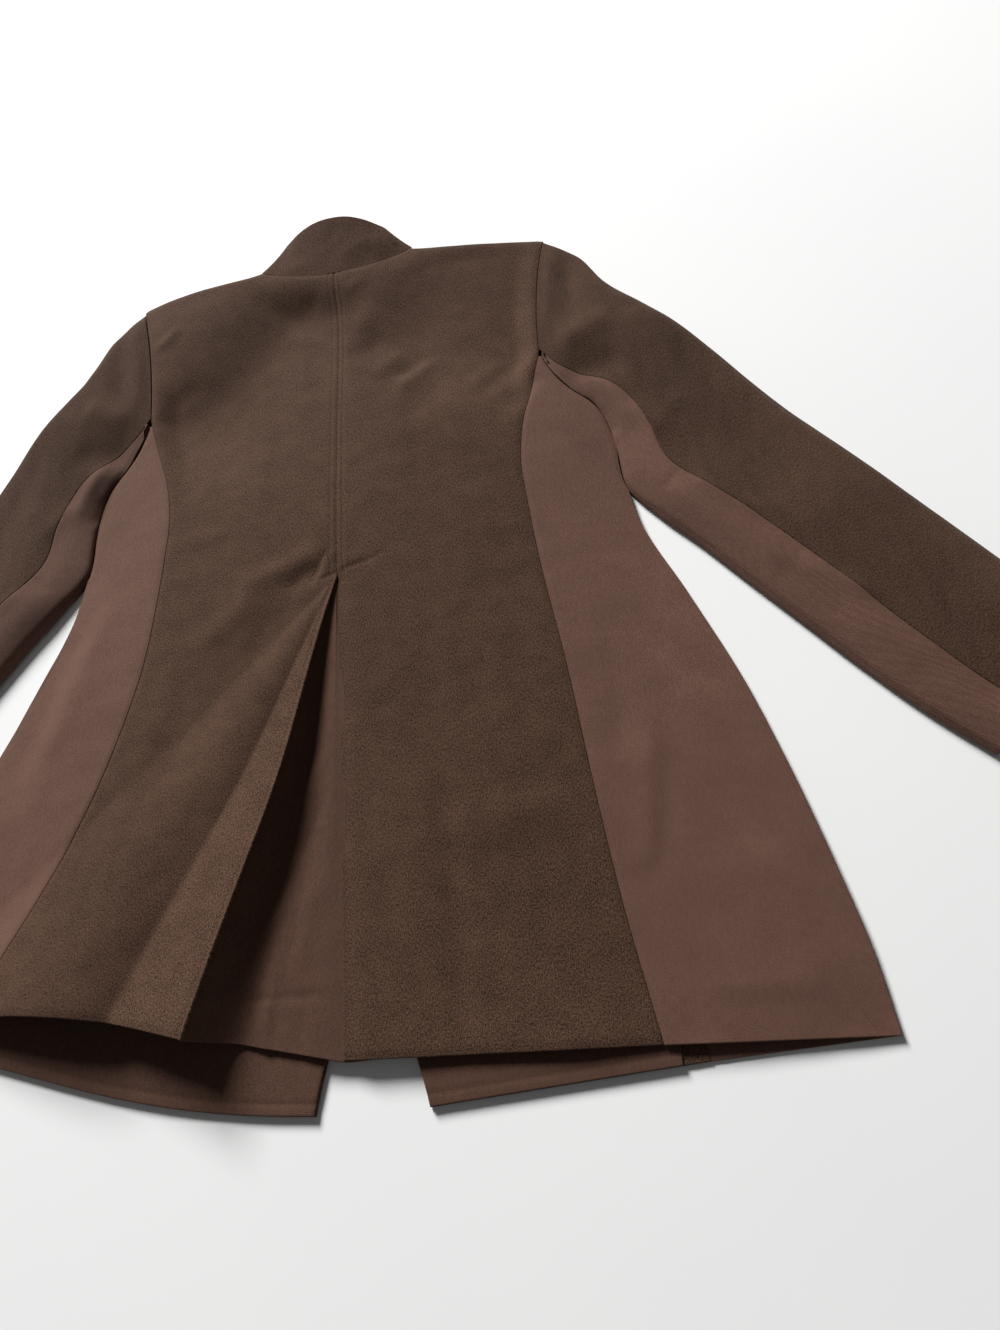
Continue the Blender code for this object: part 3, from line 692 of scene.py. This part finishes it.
# The pleat underlay
# A piece of smooth ponte behind the pleat. It is lapped under the right panel, lies open in the gap, and is
# caught along the left panel's edge, so it rises steeply from an inner fold to that edge.
PONTE_THICK = 1.8
PLEAT_LAP = 40.0
UNDERLAY_TOP = 341.0
UNDERLAY_HEM = 697.0
UNDERLAY_TUCK = 3.0
UNDERLAY_DROP = 1.6
UNDERLAY_STEPS = (1.0, 0.5, 0.0)
UNDERLAY_OPEN = (0.2, 0.4, 0.6, 0.8, 0.95)
UNDERLAY_RISE = (0.15, 0.45, 0.75, 1.0)
INNER_FOLD_SHARE = 0.74
INNER_FOLD_HEIGHT = 8.0
INNER_FOLD_SETTLES = 1.6
LAP_AT_TOP = 0.35
LAP_DROP = 1.2
UNDERLAY_STEP = 2.4
UNDERLAY_FINE = 6
UNDERLAY_CREASES = rows_of(
    Crease,
    (-8, 470, -60, 560, 7, 1.6), (-6, 500, -58, 600, 6, -1.2), (-14, 560, -40, 650, 8, 1.4),
    (-40, 596, -66, 690, 6, 1.5), (-28, 640, -34, 700, 5, -0.8), (-4, 654, -90, 652, 2.6, -0.9),
    (-52, 640, -60, 700, 4, 1.2),
)
# Painted shade: a darker copy of the ponte's colours for the underlay and the hem facings, which lie under
# or inside the jacket.
PAINTED_SHADE_PONTE_DARK = (0.048, 0.0210, 0.0132, 1)
PAINTED_SHADE_PONTE_LIGHT = (0.140, 0.0715, 0.0470, 1)
PONTE_SHEEN = (0.70, 0.48, 0.38, 1)
RIB_SCALE = 520
RIB_WAVER = 1.2
RIB_WAVER_SCALE = 2.0
RIB_WEIGHT = 0.26
RIB_RELIEF = 0.6
YARN_RELIEF = 0.4

# Two shades of yarn, heather drawn out along the cloth, then small and broad patches.
PONTE_SPECKLES = rows_of(
    Speckle,
    ((900, 900, 1), 2, 0.7, 1.2), ((420, 160, 1), 2, 0.6, 0.4), ((40, 40, 1), 2, 0.6, 0.26),
    ((9, 9, 1), 2, 0.5, 0.2),
)


def rounded(points, at, axis):
    """A smooth curve through points along one axis, read at places counted in points."""
    points = np.moveaxis(points, axis, 0)
    last = len(points) - 1
    low = np.clip(np.floor(at).astype(int), 0, last - 1)
    t = (at - low).reshape((-1,) + (1,) * (points.ndim - 1))
    before = points[np.maximum(low - 1, 0)]
    after = points[np.minimum(low + 2, last)]
    first, second = points[low], points[low + 1]
    curve = first + 0.5 * t * (second - before + t * (2 * before - 5 * first + 4 * second - after
                                                      + t * (3 * (first - second) + after - before)))
    return np.moveaxis(curve, 0, axis)


def ponte(name, dark, light):
    """Smooth brown ponte knit: a fine diagonal rib, two shades of yarn and a faint soft sheen."""
    material, tone, cut = start(name)
    rib = tone.node("ShaderNodeTexWave", {"bands_direction": "DIAGONAL"},
                    {"Vector": cut, "Scale": RIB_SCALE, "Distortion": RIB_WAVER, "Detail": 1,
                     "Detail Scale": RIB_WAVER_SCALE}, "Fac")
    values = [noise(tone, cut, speckle) for speckle in PONTE_SPECKLES]
    mix = (rib - 0.5) * RIB_WEIGHT + weighed(values, PONTE_SPECKLES) + 0.5
    colour = blend(tone, mix, dark, light)
    height = rib * RIB_RELIEF + values[0] * YARN_RELIEF
    finish(colour, rough=0.82, sheen=0.05, tint=PONTE_SHEEN, height=height, depth=0.0005)
    return material


# The ponte in painted shade, for the pieces that lie under or inside.
painted_shade_ponte = ponte("painted_shade_ponte", PAINTED_SHADE_PONTE_DARK, PAINTED_SHADE_PONTE_LIGHT)


def pleat_underlay():
    long = UNDERLAY_HEM - UNDERLAY_TOP
    down = UNDERLAY_TOP + long * (1 - stations(long, UNDERLAY_STEP))
    fallen = (down - PLEAT_TOP) / (BACK_HEM_CENTRE - PLEAT_TOP)
    edge_out, edge_down, lift = turned(np.full_like(down, UNDERLAY_TUCK), down, False)
    middle = back_height(np.zeros_like(down), down)
    edge_height = middle + lift - WOOL_THICK - UNDERLAY_DROP
    under_panel = middle - WOOL_THICK - SEAM_GAP
    fold_out = edge_out * INNER_FOLD_SHARE
    settled = lerp(under_panel, INNER_FOLD_HEIGHT, ease(fallen * INNER_FOLD_SETTLES))
    fold_height = np.minimum(settled, under_panel)
    columns = []
    for share in UNDERLAY_STEPS:
        lap = PLEAT_LAP * lerp(LAP_AT_TOP, 1.0, fallen) * share
        columns.append(np.stack([lap, down, back_height(lap, down) - WOOL_THICK - SEAM_GAP - LAP_DROP], -1))
    for share in UNDERLAY_OPEN:
        columns.append(np.stack([-fold_out * share, lerp(down, edge_down, share * INNER_FOLD_SHARE),
                                 lerp(under_panel, fold_height, ease(share))], -1))
    for share in UNDERLAY_RISE:
        columns.append(np.stack([-lerp(fold_out, edge_out, share),
                                 lerp(lerp(down, edge_down, INNER_FOLD_SHARE), edge_down, share),
                                 lerp(fold_height, edge_height, share)], -1))
    grid = np.stack(columns, 1)[:, ::-1]
    grid = rounded(grid, np.linspace(0, grid.shape[1] - 1, UNDERLAY_FINE * grid.shape[1]), 1)
    out, down, height = np.moveaxis(grid, -1, 0)
    run = np.cumsum(np.hypot(np.gradient(out, axis=1), np.gradient(height, axis=1)), axis=1)
    height = height + creased(UNDERLAY_CREASES, out, down)
    piece = cloth("pleat_underlay_cloth", placed(out, down, height), PONTE_THICK, np.stack([run, down], -1))
    dress(piece, "pleat_underlay", painted_shade_ponte)


pleat_underlay()

# The side panels
# Smooth ponte, one on the back and one on the front of each side. Each is seamed to its wool panel along
# the princess line, and the two meet at the side fold. The hem is turned up and blind stitched.
SIDE_HEM = 711.0
FRONT_HEM_SEAM = 716.0
PIT_DOWN = 281.0
SIDE_TIP = 135.0
SIDE_STEP = 2.7
SIDE_WIDE = 140.0
FRONT_PRINCESS = rows_of(Edge, (132, 190), (250, 174), (340, 180), (500, 205), (640, 229), (716, 241))
SIDE_FOLD = rows_of(
    Edge,
    (281, 250), (316, 256), (387, 283), (468, 312), (540, 331), (610, 346), (653, 354), (711, 360),
)
LOWER_SLEEVE = rows_of(
    Edge,
    (132, 190), (150, 197), (168, 208), (192, 232), (225, 244), (281, 250), (345, 299), (424, 361),
    (508, 430), (546, 468),
)
PONTE_DARK = (0.074, 0.0330, 0.0220, 1)
PONTE_LIGHT = (0.196, 0.1020, 0.0720, 1)
PRINCESS_SEAM = Groove(0.6, 2.6)
UNDERARM_SEAM = Groove(0.7, 2.5)

outer_ponte = ponte("outer_ponte", PONTE_DARK, PONTE_LIGHT)


def front_seam(down):
    """How far out a front's outer edge lies: the armhole, then the seam to the side panel."""
    return np.where(down < APEX_DOWN, edge_at(ARMHOLE, down), edge_at(FRONT_PRINCESS, down))


def side_edge(down):
    """How far out a side panel's outer edge lies: the underarm, then the side fold."""
    return np.where(down < PIT_DOWN, edge_at(LOWER_SLEEVE, down), edge_at(SIDE_FOLD, down))


def side_plan(seam, hem, step):
    """Plan of a side panel between its princess seam and the side fold."""
    along = stations(SIDE_HEM - SIDE_TIP, step)
    across = stations(SIDE_WIDE, step)
    inner_down = lerp(hem, SIDE_TIP, along)
    outer_down = lerp(SIDE_HEM, SIDE_TIP, along)
    inner = np.stack([seam(inner_down) + SEAM_HALF, inner_down], -1)
    outer = np.stack([side_edge(outer_down) - SEAM_HALF, outer_down], -1)
    ends = [lerp(inner[k], outer[k], across[:, None]) for k in (0, -1)]
    return patch(inner, outer, *ends, across, along)


def front_lie(out, down, height, left):
    """A piece of the front as it lies on the table."""
    if left:
        out, down, _ = turned(out, down, True)
        out = -out
    return placed(out, down, height)


def side_panels(side):
    left = side == "left"
    plan = side_plan(back_seam, BACK_HEM_SEAM, SIDE_STEP)
    out, down = plan[..., 0], plan[..., 1]
    underarm = pulled(UNDERARM_SEAM, side_edge(down) - out) * (down < PIT_DOWN)
    face = back_face(out, down, left, pulled(PRINCESS_SEAM, out - back_seam(down)) + underarm)
    piece = cloth(side + "_side_back", face, PONTE_THICK, plan, flipped=left)
    dress(piece, "side_back_" + side, outer_ponte)
    plan = side_plan(front_seam, FRONT_HEM_SEAM, 2 * SIDE_STEP)
    out, down = plan[..., 0], plan[..., 1]
    face = front_lie(out, down, np.full_like(out, PONTE_THICK), left)
    piece = cloth(side + "_side_front", face, PONTE_THICK, plan, flipped=left)
    dress(piece, "side_front_" + side, outer_ponte)


side_panels("right")
side_panels("left")

# The fronts and their hem facings
# Wool fronts lying on the table under the back. Their plain centre-front edges are cut away a little at the
# hem. A strip of ponte, stitched along its lower edge, faces each hem's inside and shows below the back.
FRONT_HEM_EDGE = 728.0
RIGHT_HEM_OUT = 59.5
LEFT_HEM_OUT = 24.5
FRONT_NECK_OUT = 12.0
FRONT_NECK_DOWN = 48.0
FRONT_NECK_POWER = 1.6
FRONT_FLAT_BELOW = 140.0
SHOULDER_FADE = 30.0
FRONT_STEP = 4.0
FRONT_WIDE = 190.0
FACING_HEIGHT = 62.0
FACING_INSET = 0.6
FACING_SHARE = 0.9
FACING_STITCH = Groove(0.5, 1.4)
FACING_STITCH_UP = 7.0
CUTAWAY = 16.0
CUTAWAY_DOWN = 655.0
CUTAWAY_LONG = 60.0
FACING_STEP = 2.6


def front_top(out):
    """How far down the front's upper edge lies: its deeper neck curve, then the same shoulder."""
    across = np.clip((out - FRONT_NECK_OUT) / (NECK_HALF - FRONT_NECK_OUT), 0, 1)
    neck = lerp(FRONT_NECK_DOWN, -NECK_RISE, across ** FRONT_NECK_POWER)
    return np.where(out < NECK_HALF, neck, back_top(out))


def front_height(out, down):
    """Height of a front's upper face: flat on the table, and lifted to the back along the shoulder."""
    top = back_top(np.abs(out))
    shoulder = back_height(out, top) + back_relief(out, top) - WOOL_THICK - SEAM_GAP
    near = np.where(down > FRONT_FLAT_BELOW, 0, bump(down - top, SHOULDER_FADE))
    return WOOL_THICK + np.maximum(shoulder - WOOL_THICK, 0) * near


def front_panel(side, hem_out):
    left = side == "left"
    along = stations(FRONT_HEM_SEAM + SHOULDER_RISE, FRONT_STEP)
    across = stations(FRONT_WIDE, FRONT_STEP)
    inner_down = lerp(FRONT_HEM_EDGE, FRONT_NECK_DOWN + SEAM_HALF, along)
    cut_away = CUTAWAY * bump(inner_down - CUTAWAY_DOWN, CUTAWAY_LONG)
    inner_out = lerp(hem_out, FRONT_NECK_OUT, along) - cut_away
    inner = np.stack([inner_out, inner_down], -1)
    plan = panel_plan(inner, front_seam, FRONT_HEM_SEAM, FRONT_NECK_OUT, front_top, across, along)
    out, down = plan[..., 0], plan[..., 1]
    face = front_lie(out, down, front_height(-out if left else out, down), left)
    piece = cloth(side + "_front_panel", face, WOOL_THICK, plan, flipped=left)
    dress(piece, "front_" + side, wool_cloth)

    share = np.linspace(0, FACING_SHARE, int(FRONT_WIDE / FACING_STEP))
    edge = lerp(plan[0, 0], plan[0, -1], share[:, None])
    edge = edge + np.array([FACING_INSET, -FACING_INSET])
    rise = FACING_HEIGHT * stations(FACING_HEIGHT, FACING_STEP)[:, None]
    down = edge[None, :, 1] - rise
    near = np.linspace(1, 0, len(edge))[None, :]
    out = edge[None, :, 0] + near * (np.interp(down, inner_down[::-1], inner_out[::-1]) - inner_out[0])
    stitched = np.broadcast_to(pulled(FACING_STITCH, rise - FACING_STITCH_UP), out.shape)
    height = WOOL_THICK + SEAM_GAP + PONTE_THICK + stitched
    face = front_lie(out, down, height, left)
    piece = cloth(side + "_hem_facing", face, PONTE_THICK, np.stack([out, down], -1), flipped=left)
    dress(piece, "hem_facing_" + side, painted_shade_ponte)


front_panel("right", RIGHT_HEM_OUT)
front_panel("left", LEFT_HEM_OUT)

# The sleeves
# Each sleeve is a flattened tube of two cut pieces: a wool upper sleeve round the outer fold and a ponte
# under-sleeve round the inner fold. Their upper seam shows. The cap is set into the armhole.
OUTER_SLEEVE = rows_of(
    Edge,
    (-10, 210), (8, 233), (38, 253), (66, 271), (87, 294), (226, 390.5), (343, 475), (474, 567),
)
Sleeve = namedtuple("Sleeve", "along outer_height rise band")
SLEEVE = rows_of(
    Sleeve,
    (0.0, 26, 1, 4), (0.06, 26, 5, 10), (0.14, 19, 10, 22), (0.3, 15, 12, 35), (0.5, 13, 13, 44),
    (0.8, 11, 12, 42), (1.0, 10, 10, 37),
)
SLEEVE_LOWER_EDGE = 8.0
SLEEVE_SEAM_UNDER = 0.70
UNDERARM_ROWS = (137, 156, 175, 192, 215, 245, 281)
FREE_SLEEVE_ROWS = (313, 345, 385, 424, 466, 508, 546)
SLEEVE_ROWS = 1 + len(UNDERARM_ROWS) + len(FREE_SLEEVE_ROWS)
Bend = namedtuple("Bend", "inset height")
FOLDED_EDGE = rows_of(Bend, (0.045, 0.86), (0.012, 0.66), (0.0, 0.42), (0.012, 0.16), (0.045, 0.0))
JOINED_EDGE = rows_of(Bend, (0.03, 1.0), (0.0, 1.0), (0.0, 0.5), (0.0, 0.0), (0.03, 0.0))
UPPER_SHARES = (1.0, 0.8, 0.6, 0.4, 0.24, 0.12)
UNDER_SHARES = (1.0, 0.55)
LOWER_SHARES = (0.2, 0.5, 0.8, 1.0)
UNDER_START = 1
ARMHOLE_GAP = 0.1
ARMHOLE_BLEND = 0.3
CAP_ROUND = 0.1
CAP_FULL = 0.3
CAP_FLAT = 0.8
DOME_POWER = 4.0
DOME_ROUND = 0.7
LAID_FROM = 0.06
UPPER_FACE = 0.5
EDGE_SAMPLES = 200
SLEEVE_ALONG_FINE = 14
UPPER_AROUND_FINE = 7
UNDER_AROUND_FINE = 6
# Painted shade: how much darker the upper sleeves' wool is painted.
SLEEVE_PAINTED_SHADE = -0.55
JOIN_WIDTH = 9.0
SLEEVE_CREASES = rows_of(
    Crease,
    (210, -7, 196, 119, 10, 2.6, 1), (229, -4, 220, 117, 9, -2.4, 2), (204, 130, 264, 103, 13, 3.0),
    (203, 165, 271, 152, 17, -4.2), (305, 105, 388, 350, 26, -8.0, 0, 45),
    (270, 191, 330, 330, 13, 1.4), (278, 239, 312, 199, 9, 1.1, -1), (261, 201, 288, 248, 8, 1.2),
    (216, 178, 229, 197, 5, -1.4, -1), (236, 198, 249, 232, 5, -1.7, -1),
    (227, 161, 262, 232, 6, 1.8, 6), (278, 299, 292, 279, 5, -1.2), (292, 288, 355, 342, 7, 1.7, 2),
    (347, 368, 398, 447, 7, -2.6), (365, 379, 420, 426, 7, 2.2), (256, 60, 285, 109, 14, -1.1),
    (400, 220, 480, 330, 20, 1.6), (440, 330, 520, 430, 18, -1.6), (470, 420, 540, 500, 14, 1.8),
    (420, 470, 490, 520, 12, -1.5),
)


def evenly(rows, count):
    """A sleeve's edge as evenly spaced (out, down) points."""
    down = np.linspace(rows[0].down, rows[-1].down, EDGE_SAMPLES)
    out = edge_at(rows, down)
    run = np.concatenate([[0], np.cumsum(np.hypot(np.diff(out), np.diff(down)))])
    at = np.linspace(0, run[-1], count)
    return np.stack([np.interp(at, run, out), np.interp(at, run, down)], -1)


lower_down = np.array([LOWER_SLEEVE[0].down, *UNDERARM_ROWS, *FREE_SLEEVE_ROWS], float)
sleeve_along = (lower_down - lower_down[0]) / (lower_down[-1] - lower_down[0])
lower_line = np.stack([edge_at(LOWER_SLEEVE, lower_down), lower_down], -1)
outer_line = evenly(OUTER_SLEEVE, SLEEVE_ROWS)
arm_line = evenly(ARMHOLE, SLEEVE_ROWS)
joined_height = back_height(lower_line[:, 0], lower_line[:, 1]) / leaned(lower_line[:, 0], lower_line[:, 1])
lower_height = np.where(lower_down > PIT_DOWN, SLEEVE_LOWER_EDGE, joined_height)
outer_height, sleeve_rise, band = (smooth(SLEEVE, "along", column, sleeve_along)
                                   for column in ("outer_height", "rise", "band"))
sleeve_width = np.linalg.norm(outer_line - lower_line, axis=1)


def sleeve_point(row, share, height_share, top):
    """One point on a sleeve's row: share runs from its outer edge to its lower edge."""
    chord = lerp(outer_line[row], lower_line[row], share)
    start = lerp(outer_line[0], lower_line[0], share)
    at_arm = np.array([np.interp(share, np.linspace(0, 1, SLEEVE_ROWS), arm_line[:, k]) for k in range(2)])
    plan = chord + (at_arm - start) * (1 - ease(sleeve_along[row] / ARMHOLE_BLEND))
    edge = lerp(outer_height[row], lower_height[row], share)
    dome = max(0.0, 1 - abs(2 * share - 1) ** DOME_POWER) ** DOME_ROUND
    height = (edge + sleeve_rise[row] * dome) * height_share if top else edge * height_share
    return (plan[0] + ARMHOLE_GAP, plan[1], height)


def sleeve_grids():
    """The points of the upper sleeve and of the under-sleeve, row by row, round each piece."""
    upper = []
    under = []
    for row in range(SLEEVE_ROWS):
        seam = 1 - band[row] / sleeve_width[row]
        gap = SEAM_HALF / sleeve_width[row]
        points = [sleeve_point(row, (seam - gap) * share, 1.0, True) for share in UPPER_SHARES]
        full = lerp(CAP_FULL, 1.0, ease(sleeve_along[row] / CAP_ROUND))
        points += [sleeve_point(row, bend.inset, bend.height ** full, bend.height > UPPER_FACE)
                   for bend in FOLDED_EDGE]
        points += [sleeve_point(row, lerp(LAID_FROM, SLEEVE_SEAM_UNDER - gap, share), 0.0, False)
                   for share in LOWER_SHARES]
        upper.append(points)
        edge = FOLDED_EDGE if lower_down[row] > PIT_DOWN else JOINED_EDGE
        points = [sleeve_point(row, 1 - (1 - seam) * share, 1.0, True) for share in UNDER_SHARES]
        points += [sleeve_point(row, 1 - bend.inset, bend.height, bend.height > UPPER_FACE) for bend in edge]
        points += [sleeve_point(row, lerp(1 - LAID_FROM, SLEEVE_SEAM_UNDER, share), 0.0, False)
                   for share in LOWER_SHARES]
        under.append(points)
    return np.array(upper), np.array(under[UNDER_START:])


def finer(grid, times, axis):
    """A grid with more points along one axis."""
    last = grid.shape[axis] - 1
    return rounded(grid, np.linspace(0, last, times * last + 1), axis)


def lengths(grid, axis):
    """How far each point of a grid lies along the cloth in one direction."""
    return np.cumsum(np.linalg.norm(np.gradient(grid, axis=axis), axis=-1), axis=axis)


def sleeve_cloth(grid, side, around):
    """A sleeve piece's fine points with its creases, and the flat coordinates of its cut."""
    grid = finer(finer(grid, SLEEVE_ALONG_FINE, 0), around, 1)
    normal = np.cross(np.gradient(grid, axis=0), np.gradient(grid, axis=1))
    facing_up = ease(np.abs(normal[..., 2]) / np.linalg.norm(normal, axis=-1))
    facing_up = facing_up * (grid[..., 2] > SLEEVE_LOWER_EDGE / 2)
    out, down = grid[..., 0], grid[..., 1]
    mirror = -1 if side == "left" else 1
    from_armhole = out - edge_at(ARMHOLE, down)
    joined = bump(np.hypot(from_armhole, np.maximum(down - APEX_DOWN, 0)), JOIN_WIDTH)
    grid[..., 2] *= leaned(mirror * out, down)
    relief = creased(SLEEVE_CREASES, out, down) + uneven(out, down)
    grid[..., 2] += facing_up * lerp(relief, back_relief(mirror * out, down), joined)
    near = bump(from_armhole, SHOULDER_FADE)
    under = front_height(mirror * np.minimum(out, SHOULDER_OUT), down) - WOOL_THICK
    least = near * under * lerp(CAP_FLAT, 1, grid[..., 2] / outer_height[0])
    grid[..., 2] = np.maximum(grid[..., 2], least)
    cut = np.stack([lengths(grid, 1), lengths(grid, 0)], -1)
    return placed(mirror * out, down, grid[..., 2]), cut


def sleeve(side):
    upper, under = sleeve_grids()
    face, cut = sleeve_cloth(upper, side, UPPER_AROUND_FINE)
    # Painted shade over the whole upper sleeve.
    nap = np.full(face.shape[:2], SLEEVE_PAINTED_SHADE)
    piece = cloth(side + "_sleeve_upper", face, WOOL_THICK, cut, nap, flipped=side == "right")
    dress(piece, "sleeve_upper_" + side, wool_cloth)
    face, cut = sleeve_cloth(under, side, UNDER_AROUND_FINE)
    # The under-sleeve is open along its lower edge where it is sewn into the armhole.
    keep = np.ones((face.shape[0] - 1, face.shape[1] - 1), bool)
    armhole_rows = SLEEVE_ALONG_FINE * (int((lower_down[UNDER_START:] <= PIT_DOWN).sum()) - 1)
    first = UNDER_AROUND_FINE * (len(UNDER_SHARES) + 1)
    keep[:armhole_rows, first:first + 2 * UNDER_AROUND_FINE] = False
    piece = cloth(side + "_sleeve_under", face, PONTE_THICK, cut, keep=keep, flipped=side == "left")
    dress(piece, "sleeve_under_" + side, outer_ponte)


sleeve("right")
sleeve("left")

# The collar
# A stiff stand of the same wool, sewn to the neck. It arches over the back of the neck, and its front ends
# lie underneath on the table.
Collar = namedtuple("Collar", "out up height")
COLLAR_EDGE = rows_of(
    Collar,
    (0, 62, 55), (16, 61, 54), (31, 57, 51), (44, 52, 46), (55, 47, 39.5), (57, 43, 28), (48, 40, 14),
    (38, 30, 6), (26, 18, 3), (13, 6, 3),
)
COLLAR_CORNER = Collar(75, 25, 33)
COLLAR_ROWS = 5
COLLAR_TUCK = 0.9
COLLAR_SINK = 0.9
NECK_COLUMNS = 5
COLLAR_FINE = 9
COLLAR_CREASED_ABOVE = 25.0
COLLAR_CREASES = rows_of(
    Crease,
    (0, -13, 48, -38, 7, 0.9, 1), (36, -16, 64, -42, 11, 1.6), (-60, -20, -16, -12, 8, 0.8),
    (-2, -8, 2, -60, 8, -0.8),
)


def collar_half(side):
    """Half of the collar's outer face, from centre back to the front end. side is 1 right, -1 left."""
    back_out = np.linspace(0, NECK_HALF, NECK_COLUMNS)
    back_down = back_top(back_out) + COLLAR_TUCK
    back = back_height(side * back_out, back_down) - COLLAR_SINK
    base = list(zip(back_out, back_down, back))
    corner = COLLAR_CORNER.height * leaned(side * COLLAR_CORNER.out, -COLLAR_CORNER.up)
    base.append((COLLAR_CORNER.out, -COLLAR_CORNER.up, corner))
    front_out = np.linspace(NECK_HALF, FRONT_NECK_OUT, NECK_COLUMNS)[1:]
    front_down = front_top(front_out)
    base += list(zip(front_out, front_down, front_height(side * front_out, front_down)))
    edge = [(row.out, -row.up, row.height) for row in COLLAR_EDGE]
    share = np.linspace(0, 1, COLLAR_ROWS)[None, :, None]
    half = lerp(np.array(base)[:, None], np.array(edge)[:, None], share)
    return half * np.array([side, 1, 1])


def collar():
    grid = np.concatenate([collar_half(-1)[:0:-1], collar_half(1)])
    grid = finer(finer(grid, COLLAR_FINE, 0), COLLAR_FINE, 1)
    out, down, height = np.moveaxis(grid, -1, 0)
    height = height + creased(COLLAR_CREASES, out, down) * (height > COLLAR_CREASED_ABOVE)
    face = placed(out, down, height)
    cut = np.stack([lengths(grid, 0), lengths(grid, 1)], -1)
    piece = cloth("stand_collar", face.transpose(1, 0, 2), WOOL_THICK, cut.transpose(1, 0, 2))
    dress(piece, "collar", wool_cloth)


collar()

# The table, the light and the camera
# A pale matt table, a broad soft light from beyond the left shoulder with a pale room around it, and a
# camera above the right skirt that looks down towards the collar.
TABLE_HALF = 4.0
TABLE_DROP = 0.0006
TABLE_PALE = (0.86, 0.86, 0.86, 1)
TABLE_PALER = (0.90, 0.90, 0.89, 1)
TABLE_CLOUDS = Speckle((3, 3, 1), 3, 0.5, 1.0)
TABLE_ROUGH = 0.9
KEY_FROM = (-0.36, 0.78, 0.53)
KEY_AWAY = 7.0
KEY_SIZE = 2.6
KEY_POWER = 905.0
ROOM_LIGHT = 0.10
ROOM_PALE = (1, 1, 1, 1)
CAMERA_PLACE = (0.2209, -0.3338, 0.5867)
CAMERA_RIGHT = (0.983, -0.0909, -0.1594)
CAMERA_DOWN = (-0.1473, -0.9086, -0.3907)
CAMERA_AHEAD = (-0.1093, 0.4076, -0.9066)
FOCAL_PIXELS = 798.3
FRAME_WIDE = 1000
FRAME_HIGH = 1330
AIM_ACROSS = 527
AIM_DOWN = 637
SENSOR = 36.0
CLIP_NEAR = 0.02

table_mesh = bpy.data.meshes.new("table")
corners = [(TABLE_HALF * x, TABLE_HALF * y, -TABLE_DROP) for x, y in ((-1, -1), (1, -1), (1, 1), (-1, 1))]
table_mesh.from_pydata(corners, [], [(0, 1, 2, 3)])
table_material = bpy.data.materials.new("matt_table")
table_material.use_nodes = True
table_tone = Tone(table_material.node_tree)
table_where = table_tone.node("ShaderNodeTexCoord", {}, {}, "Object")
table_clouds = noise(table_tone, table_where, TABLE_CLOUDS)
table_colour = blend(table_tone, table_clouds, TABLE_PALE, TABLE_PALER)
table_surface = table_material.node_tree.nodes["Principled BSDF"]
table_surface.inputs["Roughness"].default_value = TABLE_ROUGH
table_material.node_tree.links.new(table_colour.socket, table_surface.inputs["Base Color"])
table_mesh.materials.append(table_material)
table = added("table", table_mesh)


def facing(right, down, ahead, place):
    """A placing matrix from three view directions and a place, column by column."""
    return [[*right, 0], [*np.negative(down), 0], [*np.negative(ahead), 0], [*place, 1]]


key_ahead = -np.array(KEY_FROM) / np.linalg.norm(KEY_FROM)
key_right = np.cross(key_ahead, (0, 0, 1))
key_right /= np.linalg.norm(key_right)
key_down = np.cross(key_ahead, key_right)
key_light = bpy.data.lights.new("key", "AREA")
key_light.shape = "DISK"
key_light.size = KEY_SIZE
key_light.energy = KEY_POWER
key = added("key", key_light)
key.matrix_world = facing(key_right, key_down, key_ahead, -key_ahead * KEY_AWAY)

world = bpy.data.worlds.new("pale_room")
world.use_nodes = True
world.node_tree.nodes["Background"].inputs["Color"].default_value = ROOM_PALE
world.node_tree.nodes["Background"].inputs["Strength"].default_value = ROOM_LIGHT
bpy.context.scene.world = world
bpy.context.scene.view_settings.view_transform = "Standard"

lens = bpy.data.cameras.new("camera")
lens.sensor_width = SENSOR
lens.lens = FOCAL_PIXELS * SENSOR / FRAME_HIGH
lens.shift_x = (FRAME_WIDE / 2 - AIM_ACROSS) / FRAME_HIGH
lens.shift_y = (AIM_DOWN - FRAME_HIGH / 2) / FRAME_HIGH
lens.clip_start = CLIP_NEAR
camera = added("camera", lens)
camera.matrix_world = facing(CAMERA_RIGHT, CAMERA_DOWN, CAMERA_AHEAD, CAMERA_PLACE)
bpy.context.scene.camera = camera
